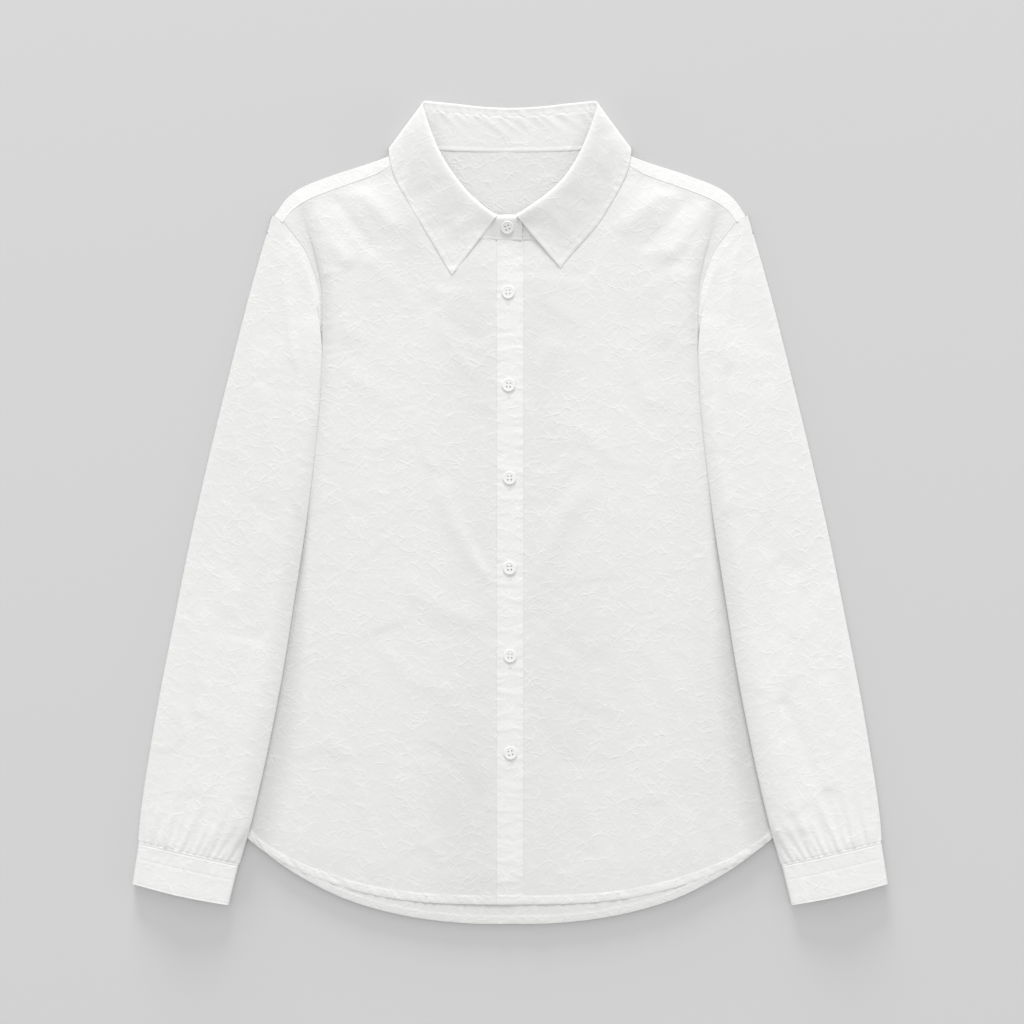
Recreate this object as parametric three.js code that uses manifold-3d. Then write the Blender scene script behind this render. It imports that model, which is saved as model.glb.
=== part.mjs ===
// A woman's long-sleeved cotton shirt, buttoned and laid flat on its back.
// Millimetres. X runs across the shirt, Y from hem to collar, Z up from the surface it lies on.
// The origin is on that surface, under the middle of the shirt's outline.
// "right" and "left" are the wearer's: the right side lies at negative X.
// Most shapes are written for one half, with a as the distance outwards from the centre line.
import * as THREE from "three";
import { mergeVertices } from "three/addons/utils/BufferGeometryUtils.js";
import Module from "manifold-3d";

const wasm = await Module();
wasm.setup();

// ---- driving sizes ----
const CLOTH = 1.0; // thickness of a single cloth wall
const BAND = 1.2; // thickness of the doubled bands: placket, cuffs
const SEAM_GAP = 0.3; // clearance between neighbouring pieces
const LAYER = CLOTH + SEAM_GAP; // height of one cloth layer in the stack
const LOFT = 0.6; // air between the front and the back
const PLACKET_HALF = 11.3; // half width of the button placket
const NECK_LIFT = 0.65; // share of the back's lift by the collar that the front takes too
const PLACKET_LIFT = 1.6; // how far the placket rides above the button side
const BUTTON_SIDE_REACH = 10; // how far the button side passes the centre line
const YOKE_SEAM_Y = 215; // height of the yoke seam across the back
const NECK_HALF = 90; // half width of the neckline at the shoulder
const BUTTON_RADIUS = 5.85;
const BUTTON_THICK = 2.0;
const BUTTON_HOLE_RADIUS = 0.65;
const BUTTON_HOLE_OFFSET = 1.35;

const COTTON = { color: 0xf4f3ef, roughness: 0.9, metalness: 0 };
const BUTTON_PLASTIC = { color: 0xf1f0ea, roughness: 0.35, metalness: 0 };

// ---- small maths ----
const clamp01 = (t) => Math.min(1, Math.max(0, t));
const mix = (p, q, t) => p + (q - p) * t;
const smooth = (t) => clamp01(t) ** 2 * (3 - 2 * clamp01(t));
const steps = (count) => Array.from({ length: count + 1 }, (_, i) => i / count);

// Rows of numbers under named columns.
function table(columns, rows) {
  const names = columns.split(" ");
  return rows.map((row) => Object.fromEntries(names.map((name, i) => [name, row[i]])));
}

// A smooth curve through a table's rows: value of `column` at a place along `key`.
function curve(table, key, column) {
  const xs = table.map((row) => row[key]);
  const ys = table.map((row) => row[column]);
  const last = xs.length - 1;
  const slope = (i) => {
    const lo = Math.max(0, i - 1);
    const hi = Math.min(last, i + 1);
    return (ys[hi] - ys[lo]) / (xs[hi] - xs[lo]);
  };
  return (x) => {
    if (x <= xs[0]) return ys[0];
    if (x >= xs[last]) return ys[last];
    const i = xs.findIndex((edge) => edge > x) - 1;
    const span = xs[i + 1] - xs[i];
    const t = (x - xs[i]) / span;
    return (
      ys[i] * (1 + 2 * t) * (1 - t) ** 2 +
      slope(i) * span * t * (1 - t) ** 2 +
      ys[i + 1] * t * t * (3 - 2 * t) -
      slope(i + 1) * span * t * t * (1 - t)
    );
  };
}

// The y where a column of points, a = columnAt(y), meets an edge curve, y = edgeAt(a).
function meet(columnAt, edgeAt, low, high) {
  for (let i = 0; i < 40; i++) {
    const middle = (low + high) / 2;
    if (edgeAt(columnAt(middle)) > middle) low = middle;
    else high = middle;
  }
  return (low + high) / 2;
}

// ---- cloth walls ----
// rows[j][i] are points on the middle of the cloth. Each is moved half the thickness to both sides
// along its normal. closed joins the last column to the first, and has(i, j) says which cells exist.
function clothWall(rows, thickness, { closed = false, has = () => true } = {}) {
  const nj = rows.length;
  const ni = rows[0].length;
  const cells = closed ? ni : ni - 1;
  const exists = (i, j) => {
    if (j < 0 || j >= nj - 1) return false;
    if (closed) return has((i + ni) % ni, j);
    return i >= 0 && i < cells && has(i, j);
  };
  const at = (i, j) => rows[j][(i + ni) % ni];
  const normals = rows.map((row) => row.map(() => new THREE.Vector3()));
  for (let j = 0; j < nj - 1; j++) {
    for (let i = 0; i < cells; i++) {
      if (!exists(i, j)) continue;
      const across = at(i + 1, j + 1).clone().sub(at(i, j));
      const down = at(i, j + 1).clone().sub(at(i + 1, j));
      const face = across.cross(down).normalize();
      for (const [ci, cj] of [[i, j], [i + 1, j], [i, j + 1], [i + 1, j + 1]]) {
        normals[cj][ci % ni].add(face);
      }
    }
  }
  const positions = [];
  for (const side of [0.5, -0.5]) {
    for (let j = 0; j < nj; j++) {
      for (let i = 0; i < ni; i++) {
        const n = normals[j][i].normalize();
        positions.push(...rows[j][i].clone().addScaledVector(n, side * thickness).toArray());
      }
    }
  }
  const outer = (i, j) => j * ni + (i % ni);
  const inner = (i, j) => nj * ni + outer(i, j);
  const index = [];
  const quad = (p, q, r, s) => index.push(p, q, r, p, r, s);
  for (let j = 0; j < nj - 1; j++) {
    for (let i = 0; i < cells; i++) {
      if (!exists(i, j)) continue;
      quad(outer(i, j), outer(i + 1, j), outer(i + 1, j + 1), outer(i, j + 1));
      quad(inner(i, j + 1), inner(i + 1, j + 1), inner(i + 1, j), inner(i, j));
      if (!exists(i, j - 1)) quad(inner(i, j), inner(i + 1, j), outer(i + 1, j), outer(i, j));
      if (!exists(i, j + 1)) {
        quad(outer(i, j + 1), outer(i + 1, j + 1), inner(i + 1, j + 1), inner(i, j + 1));
      }
      if (!exists(i - 1, j)) quad(inner(i, j + 1), inner(i, j), outer(i, j), outer(i, j + 1));
      if (!exists(i + 1, j)) {
        quad(outer(i + 1, j + 1), outer(i + 1, j), inner(i + 1, j), inner(i + 1, j + 1));
      }
    }
  }
  const geometry = new THREE.BufferGeometry();
  geometry.setAttribute("position", new THREE.Float32BufferAttribute(positions, 3));
  geometry.setIndex(signedVolume(positions, index) < 0 ? index.reverse() : index);
  return usedOnly(geometry);
}

function signedVolume(positions, index) {
  const corner = (k) => new THREE.Vector3().fromArray(positions, 3 * index[k]);
  let volume = 0;
  for (let k = 0; k < index.length; k += 3) {
    volume += corner(k).dot(corner(k + 1).cross(corner(k + 2))) / 6;
  }
  return volume;
}

// Drops the points that no triangle uses, by way of a list of loose triangles.
function usedOnly(geometry) {
  const merged = mergeVertices(geometry.toNonIndexed(), 1e-4);
  merged.computeVertexNormals();
  return merged;
}

const group = new THREE.Group();
group.name = "shirt";

function add(name, geometry, material = COTTON) {
  const mesh = new THREE.Mesh(geometry, new THREE.MeshStandardMaterial(material));
  mesh.name = name;
  group.add(mesh);
  return mesh;
}

// ---- the outline, one half ----
// foot: where the front's side fold comes down. front, back: the panels' own edges, which are the
// armholes down to y 108 and the side seam below. ridge: height of the side fold.
const SIDE = [
  { y: -306, foot: 234.2, front: 243, back: 243, ridge: 0.2 },
  { y: -268, foot: 223.4, front: 240, back: 240, ridge: 0.2 },
  { y: -207, foot: 209.5, front: 232, back: 232, ridge: 0.5 },
  { y: -137, foot: 196, front: 224, back: 224, ridge: 1.0 },
  { y: -67, foot: 185.2, front: 217, back: 217, ridge: 1.7 },
  { y: 0, foot: 176, front: 211, back: 211, ridge: 2.4 },
  { y: 54, foot: 169.5, front: 207, back: 207, ridge: 2.8 },
  { y: 90, foot: 165.8, front: 205, back: 205, ridge: 3.0 },
  { y: 108, foot: 164.6, front: 203, back: 203, ridge: 3.0 },
  { y: 120, foot: 164.0, front: 190, back: 198, ridge: 3.0 },
  { y: 135, foot: 163.4, front: 172, back: 192, ridge: 3.0 },
  { y: 150, foot: 162.8, front: 165.2, back: 188, ridge: 3.0 },
  { y: 165, foot: 162.3, front: 164.8, back: 186.4, ridge: 3.0 },
  { y: 180, foot: 162.2, front: 165.0, back: 186, ridge: 3.0 },
  { y: 195, foot: 163.0, front: 166.6, back: 187, ridge: 2.9 },
  { y: 210, foot: 165.4, front: 171.0, back: 188.8, ridge: 2.7 },
  { y: 228, foot: 169.6, front: 178.0, back: 193.5, ridge: 2.4 },
  { y: 240, foot: 173.0, front: 186.4, back: 198.4, ridge: 1.4 },
  { y: 254.7, foot: 177.0, front: 197.4, back: 204.6, ridge: 0.6 },
  { y: 262, foot: 178.6, front: 197.9, back: 206, ridge: 0.2 },
  { y: 272, foot: 179.6, front: 197.9, back: 206, ridge: 0 },
  { y: 325, foot: 182.0, front: 197.9, back: 206, ridge: 0 },
];
const footAt = curve(SIDE, "y", "foot");
const frontEdgeAt = curve(SIDE, "y", "front");
const backEdgeAt = curve(SIDE, "y", "back");
const ridgeAt = curve(SIDE, "y", "ridge");

const HEM = [
  { a: -40, front: -340.9, back: -357.8 },
  { a: 0, front: -341.3, back: -358.3 },
  { a: 34, front: -341.2, back: -357.9 },
  { a: 74, front: -339.4, back: -354.0 },
  { a: 112, front: -334.4, back: -346.4 },
  { a: 148, front: -325.3, back: -334.6 },
  { a: 186, front: -311.0, back: -315.0 },
  { a: 215, front: -294.0, back: -294.6 },
  { a: 232, front: -280.0, back: -280.0 },
  { a: 241, front: -266.0, back: -266.0 },
];
const frontHemAt = curve(HEM, "a", "front");
const backHemAt = curve(HEM, "a", "back");

// The front's upper edge: the neckline out to NECK_HALF, then the front yoke seam.
const FRONT_TOP = [
  { a: -12, y: 238.2 },
  { a: 0, y: 238.0 },
  { a: 14, y: 238.4 },
  { a: 30, y: 240.6 },
  { a: 50, y: 248.2 },
  { a: 66, y: 260.4 },
  { a: 78, y: 277.0 },
  { a: 86, y: 296.0 },
  { a: 90, y: 313.0 },
];
const YOKE_FRONT = [
  { a: 90, y: 313.0 },
  { a: 102.8, y: 305.0 },
  { a: 116.3, y: 297.2 },
  { a: 136.3, y: 289.8 },
  { a: 156.3, y: 282.7 },
  { a: 177.3, y: 273.8 },
  { a: 190.4, y: 264.6 },
  { a: 197.9, y: 254.7 },
];
const necklineAt = curve(FRONT_TOP, "a", "y");
const yokeFrontAt = curve(YOKE_FRONT, "a", "y");
const frontTopAt = (a) => (a < NECK_HALF ? necklineAt(a) : yokeFrontAt(a));

// The shoulder's fold line, from the neck to the sleeve.
const SHOULDER = [
  { q: 0, a: 90, y: 319.2 },
  { q: 0.14, a: 106, y: 311.0 },
  { q: 0.32, a: 127, y: 303.4 },
  { q: 0.55, a: 155, y: 294.4 },
  { q: 0.78, a: 183, y: 283.0 },
  { q: 0.9, a: 196.4, y: 272.6 },
  { q: 1, a: 205.6, y: 259.2 },
];
const shoulderA = curve(SHOULDER, "q", "a");
const shoulderY = curve(SHOULDER, "q", "y");

// ---- the front's height ----
// Soft folds: a straight ridge from one end to the other, in signed X, with a rounded section.
const FOLDS = [
  { x0: -172, y0: 262, x1: -118, y1: 232, width: 9, height: 1.5 },
  { x0: -150, y0: 276, x1: -98, y1: 254, width: 8, height: 1.2 },
  { x0: -166, y0: 236, x1: -140, y1: 190, width: 10, height: 0.9 },
  { x0: 168, y0: 264, x1: 112, y1: 236, width: 9, height: 1.6 },
  { x0: 146, y0: 279, x1: 100, y1: 262, width: 8, height: 1.1 },
  { x0: 160, y0: 240, x1: 126, y1: 186, width: 10, height: 1.0 },
  { x0: -60, y0: 24, x1: -18, y1: -58, width: 9, height: 1.1 },
  { x0: -92, y0: -58, x1: -26, y1: -96, width: 11, height: 0.8 },
  { x0: 22, y0: -64, x1: 66, y1: 22, width: 10, height: 0.9 },
  { x0: 40, y0: 150, x1: 18, y1: 96, width: 9, height: 0.8 },
];
function foldHeight(x, y) {
  let height = 0;
  for (const fold of FOLDS) {
    const dx = fold.x1 - fold.x0;
    const dy = fold.y1 - fold.y0;
    const length = Math.hypot(dx, dy);
    const along = ((x - fold.x0) * dx + (y - fold.y0) * dy) / length;
    const off = ((x - fold.x0) * dy - (y - fold.y0) * dx) / length;
    const end = smooth((along + fold.width) / (2 * fold.width));
    const start = smooth((length - along + fold.width) / (2 * fold.width));
    height += fold.height * end * start * Math.exp(-((off / fold.width) ** 2));
  }
  const a = Math.abs(x);
  const offPlacket = smooth((a - PLACKET_HALF - 3) / 16);
  const belowSeam = smooth((frontTopAt(a) - y - 5) / 12);
  return height * offPlacket * belowSeam;
}

// The side fold's section: distance inwards from the foot, and share of the ridge's height.
const FOLD_SECTION = [
  { inward: 34, share: 0.1 },
  { inward: 22, share: 0.55 },
  { inward: 13, share: 0.92 },
  { inward: 8, share: 1.0 },
  { inward: 4.2, share: 0.9 },
  { inward: 2.3, share: 0.62 },
  { inward: 1.5, share: 0.3 },
  { inward: 0.7, share: 0.08 },
  { inward: -1.0, share: 0.0 },
];

// Height of the middle of the front's cloth at its edge: over the back alone, or over the sleeve's
// lower layer at the armhole.
const edgeLevel = (y) => LAYER + CLOTH / 2 + LAYER * smooth((y - 159) / 14);
const sideSign = { right: -1, left: 1 };

// The back lies over the collar's under side near the neck, and on the surface elsewhere.
const backLift = (a, y) => LAYER * smooth((y - 288) / 12) * (1 - smooth((a - 110) / 14));

// Height of the middle of the front's cloth inside the side fold.
function frontLevel(side, a, y) {
  const rise = side === "right" ? PLACKET_LIFT * (1 - smooth((a - PLACKET_HALF) / 60)) : 0;
  const overBack = NECK_LIFT * backLift(a, y);
  return LAYER + CLOTH / 2 + LOFT + rise + overBack + foldHeight(sideSign[side] * a, y);
}

function frontPanel(side) {
  const sign = sideSign[side];
  const centre = side === "right" ? PLACKET_HALF + SEAM_GAP : -BUTTON_SIDE_REACH;
  const foldStart = FOLD_SECTION[0].inward;
  const neckShare = (NECK_HALF - centre) / (footAt(325) - foldStart - centre);
  const inNeck = steps(6).map((t) => t * neckShare);
  const outside = steps(3).slice(1).map((t) => mix(neckShare, 1, t));
  const columns = [...inNeck, ...outside].map((share) => ({
    a: (y) => mix(centre, footAt(y) - foldStart, share),
    z: (a, y) => frontLevel(side, a, y),
  }));
  for (const row of FOLD_SECTION.slice(1)) {
    columns.push({
      a: (y) => footAt(y) - row.inward,
      z: (a, y) => {
        const inside = smooth(row.inward / foldStart + 0.05);
        const ground = mix(edgeLevel(y), frontLevel(side, a, y), inside);
        return ground + row.share * ridgeAt(y);
      },
    });
  }
  for (const share of [0.35, 1]) {
    columns.push({
      a: (y) => mix(footAt(y) + 1.0, frontEdgeAt(y), share),
      z: (a, y) => edgeLevel(y),
    });
  }
  const rows = 26;
  return clothWall(
    steps(rows).map((v) =>
      columns.map((column) => {
        const low = meet(column.a, frontHemAt, -360, -200);
        const high = meet(column.a, frontTopAt, 200, 330);
        const y = mix(low, high, v);
        const a = column.a(y);
        return new THREE.Vector3(sign * a, y, column.z(a, y));
      }),
    ),
    CLOTH,
  );
}

// ---- placket ----
const placketLevel = (x, y) => LAYER + LOFT + PLACKET_LIFT + BAND / 2 + foldHeight(x, y);
function placket() {
  const across = steps(3).map((t) => mix(-PLACKET_HALF, PLACKET_HALF, t));
  return clothWall(
    steps(24).map((v) =>
      across.map((x) => {
        const y = mix(frontHemAt(x), necklineAt(x), v);
        return new THREE.Vector3(x, y, placketLevel(x, y));
      }),
    ),
    BAND,
  );
}

// ---- back and yoke ----
function backPanel() {
  return clothWall(
    steps(18).map((v) =>
      steps(12).map((t) => {
        const share = 2 * t - 1;
        const columnAt = (y) => share * backEdgeAt(y);
        const low = meet((y) => Math.abs(columnAt(y)), backHemAt, -370, -200);
        const y = mix(low, YOKE_SEAM_Y - SEAM_GAP, v);
        return new THREE.Vector3(columnAt(y), y, CLOTH / 2);
      }),
    ),
    CLOTH,
  );
}

const backNeckAt = (a) => 316 + 3 * (a / NECK_HALF) ** 2;
const YOKE_LAP = 1.4; // how far the yoke's front edge laps over the front
// The shoulder's fold, from the under side to the top: outwards from the fold line, and share of height.
const YOKE_TURN = [
  { out: -1.2, rise: 0.05 },
  { out: -0.6, rise: 0.3 },
  { out: -0.6, rise: 0.75 },
  { out: -1.2, rise: 1.0 },
];

// Columns of the yoke run from its back seam to the shoulder, and on to the front seam where
// they have a shoulder share q. Columns without q end at the neckline, at distance a.
function yoke() {
  const neck = steps(5).map((t) => ({ a: NECK_HALF * t }));
  const shoulder = steps(8).slice(1).map((q) => ({ q }));
  const half = [...neck, ...shoulder];
  const columns = [
    ...half.slice(1).reverse().map((column) => ({ ...column, side: "right" })),
    ...half.map((column) => ({ ...column, side: "left" })),
  ];
  const onShoulder = ({ q, a }) => q !== undefined || a === NECK_HALF;
  const point = (column, a, y, z) => new THREE.Vector3(sideSign[column.side] * a, y, z);
  const backRow = (v) => (column) => {
    const { q = 0 } = column;
    const topY = onShoulder(column) ? shoulderY(q) - 2.6 : backNeckAt(column.a);
    const seamA = column.a ?? mix(NECK_HALF, backEdgeAt(YOKE_SEAM_Y), q);
    const topA = column.a ?? shoulderA(q) - 1.6 * q;
    const a = mix(seamA, topA, v);
    const y = mix(YOKE_SEAM_Y, topY, v);
    return point(column, a, y, CLOTH / 2 + backLift(a, y));
  };
  const flapEnd = ({ q = 0, side }) => {
    const a = mix(NECK_HALF, YOKE_FRONT.at(-1).a, q);
    const y = yokeFrontAt(a) - YOKE_LAP * (1 - q);
    const atSleeve = smooth((a - 138) / 28);
    return { a, y, z: LAYER + 0.2 + mix(frontLevel(side, a, y), edgeLevel(y), atSleeve) };
  };
  const turnRow = ({ out, rise }) => (column) => {
    const { q = 0 } = column;
    const end = flapEnd(column);
    const fold = { a: shoulderA(q), y: shoulderY(q) };
    const away = new THREE.Vector2(fold.a - end.a, fold.y - end.y).normalize();
    const low = CLOTH / 2 + backLift(fold.a, fold.y);
    const reach = out - CLOTH / 2;
    return point(column, fold.a + reach * away.x, fold.y + reach * away.y, mix(low, end.z, rise));
  };
  const flapRow = (v) => (column) => {
    const { q = 0 } = column;
    const end = flapEnd(column);
    return point(column, mix(shoulderA(q), end.a, v), mix(shoulderY(q) - 2, end.y, v), end.z);
  };
  const backRows = steps(4).map(backRow);
  const rows = [...backRows, ...YOKE_TURN.map(turnRow), flapRow(0.5), flapRow(1)];
  const has = (i, j) => j < backRows.length - 1 || (onShoulder(columns[i]) && onShoulder(columns[i + 1]));
  return clothWall(rows.map((row) => columns.map(row)), CLOTH, { has });
}

// ---- sleeves ----
const SLEEVE_OUTER = [
  { y: -286, a: 323.7 },
  { y: -267.5, a: 322.3 },
  { y: -232.7, a: 317.6 },
  { y: -163, a: 305.8 },
  { y: -93.5, a: 292.3 },
  { y: -23.9, a: 278.4 },
  { y: 45.7, a: 262.7 },
  { y: 115.3, a: 245.8 },
  { y: 150, a: 237.1 },
  { y: 185, a: 228.2 },
  { y: 220, a: 218.4 },
  { y: 240, a: 212.6 },
  { y: 257, a: 207.6 },
];
// Where the sleeve starts: its share w across, from the outer edge to the inner one.
const ARMHOLE = [
  { w: 0, a: 207.6, y: 257 },
  { w: 0.08, a: 199.9, y: 252.4 },
  { w: 0.24, a: 188.6, y: 238.6 },
  { w: 0.37, a: 180.2, y: 226.4 },
  { w: 0.52, a: 173.9, y: 208.6 },
  { w: 0.65, a: 169.9, y: 193.4 },
  { w: 0.77, a: 168.2, y: 179 },
  { w: 0.89, a: 167.8, y: 164 },
  { w: 1, a: 168.8, y: 149 },
];
const SLEEVE_CUFF_Y = { outer: -286, inner: -305.6 };
const SLEEVE_CLEAR = 1.4; // from the foot of the body's fold to the middle of the sleeve's edge
const SLEEVE_CROWN = 1.1; // extra height of the upper side's middle
const GATHERS = 8; // pleated gathers across the upper side at the cuff
const GATHER_HEIGHT = 0.8;
const SLIT = { start: 0.86, from: 0.494, to: 0.506 }; // the opening above the cuff, underneath
const sleeveOuterAt = curve(SLEEVE_OUTER, "y", "a");
const armholeA = curve(ARMHOLE, "w", "a");
const armholeY = curve(ARMHOLE, "w", "y");

// Where a point of the sleeve lies in plan: w runs across it, t along it to the cuff.
function sleevePlan(w, t) {
  const outerY = mix(ARMHOLE[0].y, SLEEVE_CUFF_Y.outer, t);
  const innerY = mix(ARMHOLE.at(-1).y, SLEEVE_CUFF_Y.inner, t);
  const outer = sleeveOuterAt(outerY);
  const inner = mix(ARMHOLE.at(-1).a, footAt(innerY) + SLEEVE_CLEAR, smooth(t / 0.04));
  const bow = 1 - smooth(t / 0.45);
  const bowA = armholeA(w) - mix(ARMHOLE[0].a, ARMHOLE.at(-1).a, w);
  const bowY = armholeY(w) - mix(ARMHOLE[0].y, ARMHOLE.at(-1).y, w);
  return { a: mix(outer, inner, w) + bow * bowA, y: mix(outerY, innerY, w) + bow * bowY };
}

// What the sleeve lies on: the surface, the back alone by the armhole, or both panels by the side.
function sleeveGround(a, y) {
  const over = (edge) => smooth((edge + 25 - a) / 13);
  const belowArmhole = smooth((176 - y) / 16);
  return LAYER * (over(backEdgeAt(y - 12)) + over(frontEdgeAt(y - 25)) * belowArmhole);
}

const CUFF_ARCH = 2.9; // how far the middle of a cuff stands off the surface, over its button
const archAt = (w) => CUFF_ARCH * Math.sin(Math.PI * w) ** 2;
const SLEEVE_EDGE = [0, 0.014, 0.045];
const SLEEVE_UNDER = [0.986, 0.955, 0.88, 0.78, 0.66, SLIT.to, SLIT.from, 0.34, 0.2, 0.045, 0.014];
const SLEEVE_STATIONS = [
  0, 0.03, 0.075, 0.14, 0.22, 0.31, 0.42, 0.54, 0.66, 0.77, SLIT.start, 0.92, 0.965, 1,
];

function sleeve(side) {
  const gatherSteps = steps(GATHERS * 2).map((t) => mix(0.1, 0.9, t));
  const above = [...SLEEVE_EDGE, ...gatherSteps, ...SLEEVE_EDGE.map((w) => 1 - w).reverse()];
  const ring = [...above.map((w) => ({ w, up: 1 })), ...SLEEVE_UNDER.map((w) => ({ w, up: -1 }))];
  const rows = SLEEVE_STATIONS.map((t) => {
    const fuller = 0.9 * smooth((t - 0.5) / 0.2) - 0.5 * smooth((t - 0.9) / 0.1);
    const apart = mix(1.35, 2.1, smooth(t / 0.1)) + fuller;
    const crown = SLEEVE_CROWN * smooth(t / 0.12) * (1 - smooth((t - 0.93) / 0.07));
    const gather = GATHER_HEIGHT * smooth((t - SLIT.start) / 0.1);
    return ring.map(({ w, up }, i) => {
      const { a, y } = sleevePlan(w, t);
      const fromEdge = Math.min(w, 1 - w) * 90;
      const round = Math.sqrt(1 - (1 - clamp01(fromEdge / 4.2)) ** 2);
      const arch = archAt(w) * smooth((t - 0.84) / 0.16);
      const level = sleeveGround(a, y) + CLOTH / 2 + arch + (apart / 2) * (1 + up * round);
      const onTop = up > 0 ? crown * Math.sin(Math.PI * w) ** 0.7 : 0;
      const gathered = up > 0 && w > 0.09 && w < 0.91;
      const wave = gathered && i % 2 === 0 ? gather : 0;
      return new THREE.Vector3(sideSign[side] * a, y, level + onTop + wave);
    });
  });
  const slitColumn = above.length + SLEEVE_UNDER.indexOf(SLIT.to);
  const slitRow = SLEEVE_STATIONS.indexOf(SLIT.start);
  const has = (i, j) => i !== slitColumn || j < slitRow;
  return clothWall(rows, CLOTH, { closed: true, has });
}

// ---- cuffs ----
const CUFF = {
  top: { outer: { a: 323.9, y: -286.9 }, inner: { a: 235.9, y: -306.8 } },
  bottom: { outer: { a: 329.6, y: -323.2 }, inner: { a: 244.6, y: -342.0 } },
};
const CUFF_BOW = 1.4; // how far the cuff's lower edge bows out
const CUFF_LAYER = BAND + 0.4;
const CUFF_LAP = { start: 0.4, end: 0.62 }; // the two ends lap between these, underneath
const CUFF_HEIGHT = 3.3;
const CUFF_TURN = [
  { inset: 0.035, z: 0.25 },
  { inset: 0.01, z: 1.0 },
  { inset: 0.01, z: 2.3 },
  { inset: 0.035, z: 3.05 },
];

function cuffPlan(w, v) {
  const { top, bottom } = CUFF;
  const edge = (row, key) => mix(row.outer[key], row.inner[key], w);
  const bow = CUFF_BOW * v * Math.sin(Math.PI * w);
  return {
    a: mix(edge(top, "a"), edge(bottom, "a"), v) - 0.2 * bow,
    y: mix(edge(top, "y"), edge(bottom, "y"), v) - bow,
  };
}

function cuff(side) {
  const arched = (w, z) => ({ w, z: z + archAt(w) });
  const lapped = (w) => arched(w, CUFF_LAYER * (1 - smooth((w - 0.66) / 0.2)));
  const section = [
    ...[CUFF_LAP.start, 0.5, 0.6, 0.7, 0.8, 0.9].map(lapped),
    ...CUFF_TURN.map(({ inset, z }) => ({ w: 1 - inset, z })),
    ...steps(7).map((t) => arched(mix(0.92, 0.08, t), CUFF_HEIGHT)),
    ...CUFF_TURN.map(({ inset, z }) => ({ w: inset, z })).reverse(),
    ...[0.1, 0.2, 0.3, 0.4, 0.5, CUFF_LAP.end].map((w) => arched(w, 0)),
  ];
  return clothWall(
    steps(4).map((v) =>
      section.map(({ w, z }) => {
        const { a, y } = cuffPlan(w, v);
        return new THREE.Vector3(sideSign[side] * a, y, BAND / 2 + z);
      }),
    ),
    BAND,
  );
}

// ---- collar ----
// Stations round the neck on one half, from the front end to the middle of the back.
// seam: the neckline. roll: the fold over which the collar turns. tip: the collar's outer edge.
// under: 0 where the collar lies on top, 1 where it lies beneath the back.
const COLLAR = table("s seamA seamY rollA rollY rollZ tipA tipY under", [
  [0.0, 12, 239.2, 11.6, 257.6, 9.8, 50.5, 207.0, 0],
  [0.08, 31, 241.6, 23.5, 266.6, 10.4, 58.5, 220.0, 0],
  [0.16, 49, 248.8, 34.8, 276.6, 10.6, 67.0, 234.2, 0],
  [0.24, 64, 260.6, 44.2, 287.4, 10.6, 76.0, 249.4, 0],
  [0.32, 75.5, 276.4, 52.4, 298.6, 10.4, 85.4, 265.2, 0],
  [0.4, 83, 292.0, 60.0, 311.4, 10.0, 94.4, 280.4, 0],
  [0.48, 87.2, 306.0, 67.2, 327.6, 9.4, 100.2, 292.4, 0],
  [0.55, 88.4, 315.0, 73.6, 345.8, 8.6, 103.6, 302.4, 0.03],
  [0.58, 88.0, 318.0, 75.4, 351.6, 8.2, 104.8, 308.6, 0.08],
  [0.6, 87.0, 319.4, 76.0, 354.4, 7.8, 105.3, 314.0, 0.2],
  [0.62, 85.0, 320.0, 75.8, 356.4, 7.4, 105.0, 317.4, 0.5],
  [0.64, 82.0, 320.2, 74.6, 357.4, 6.8, 103.6, 318.2, 0.8],
  [0.67, 77.5, 319.8, 71.4, 357.6, 6.2, 99.6, 315.6, 1],
  [0.71, 71, 319.2, 66.0, 357.2, 5.8, 93.0, 311.8, 1],
  [0.8, 48, 318.0, 45.0, 355.8, 5.6, 66.0, 310.4, 1],
  [0.9, 24, 317.2, 22.5, 354.4, 5.6, 33.0, 310.4, 1],
  [1.0, 0, 317.0, 0, 354.0, 5.6, 0, 310.6, 1],
]);
const collarAt = Object.fromEntries(
  Object.keys(COLLAR[0]).map((column) => [column, curve(COLLAR, "s", column)]),
);
const COLLAR_EDGE_Z = 5.9; // middle of the collar's edge where it lies on the front
const STAND_END = { right: -10.5, left: -8.5 }; // how far each end of the stand passes the centre
const STAND_SHARE = { front: 0.84, back: 0.66 }; // the stand's height, as a share of seam to roll
const COLLAR_STATIONS = [
  0, 0.05, 0.1, 0.16, 0.24, 0.32, 0.4, 0.47, 0.53, 0.565, 0.59, 0.61, 0.63, 0.655, 0.69, 0.76, 0.88,
];

function collarStation(s) {
  const at = Object.fromEntries(Object.keys(collarAt).map((column) => [column, collarAt[column](s)]));
  const turn = smooth(at.under);
  return {
    turn,
    seam: { a: at.seamA, y: at.seamY },
    roll: { a: at.rollA, y: at.rollY, z: at.rollZ },
    tip: { a: at.tipA, y: at.tipY, z: mix(COLLAR_EDGE_Z, CLOTH / 2, turn) },
    standShare: mix(STAND_SHARE.front, STAND_SHARE.back, turn),
  };
}

// Points across the fall of the collar: share w from the roll to the outer edge, and the share of the
// height that is left there, on top and underneath.
const COLLAR_FALL = [
  { w: 0.03, top: 1.0, under: 0.45 },
  { w: 0.09, top: 1.02, under: 0.12 },
  { w: 0.2, top: 0.9, under: 0.0 },
  { w: 0.36, top: 0.56, under: 0.0 },
  { w: 0.54, top: 0.3, under: 0.0 },
  { w: 0.76, top: 0.1, under: 0.0 },
  { w: 1.0, top: 0.0, under: 0.0 },
];

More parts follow.
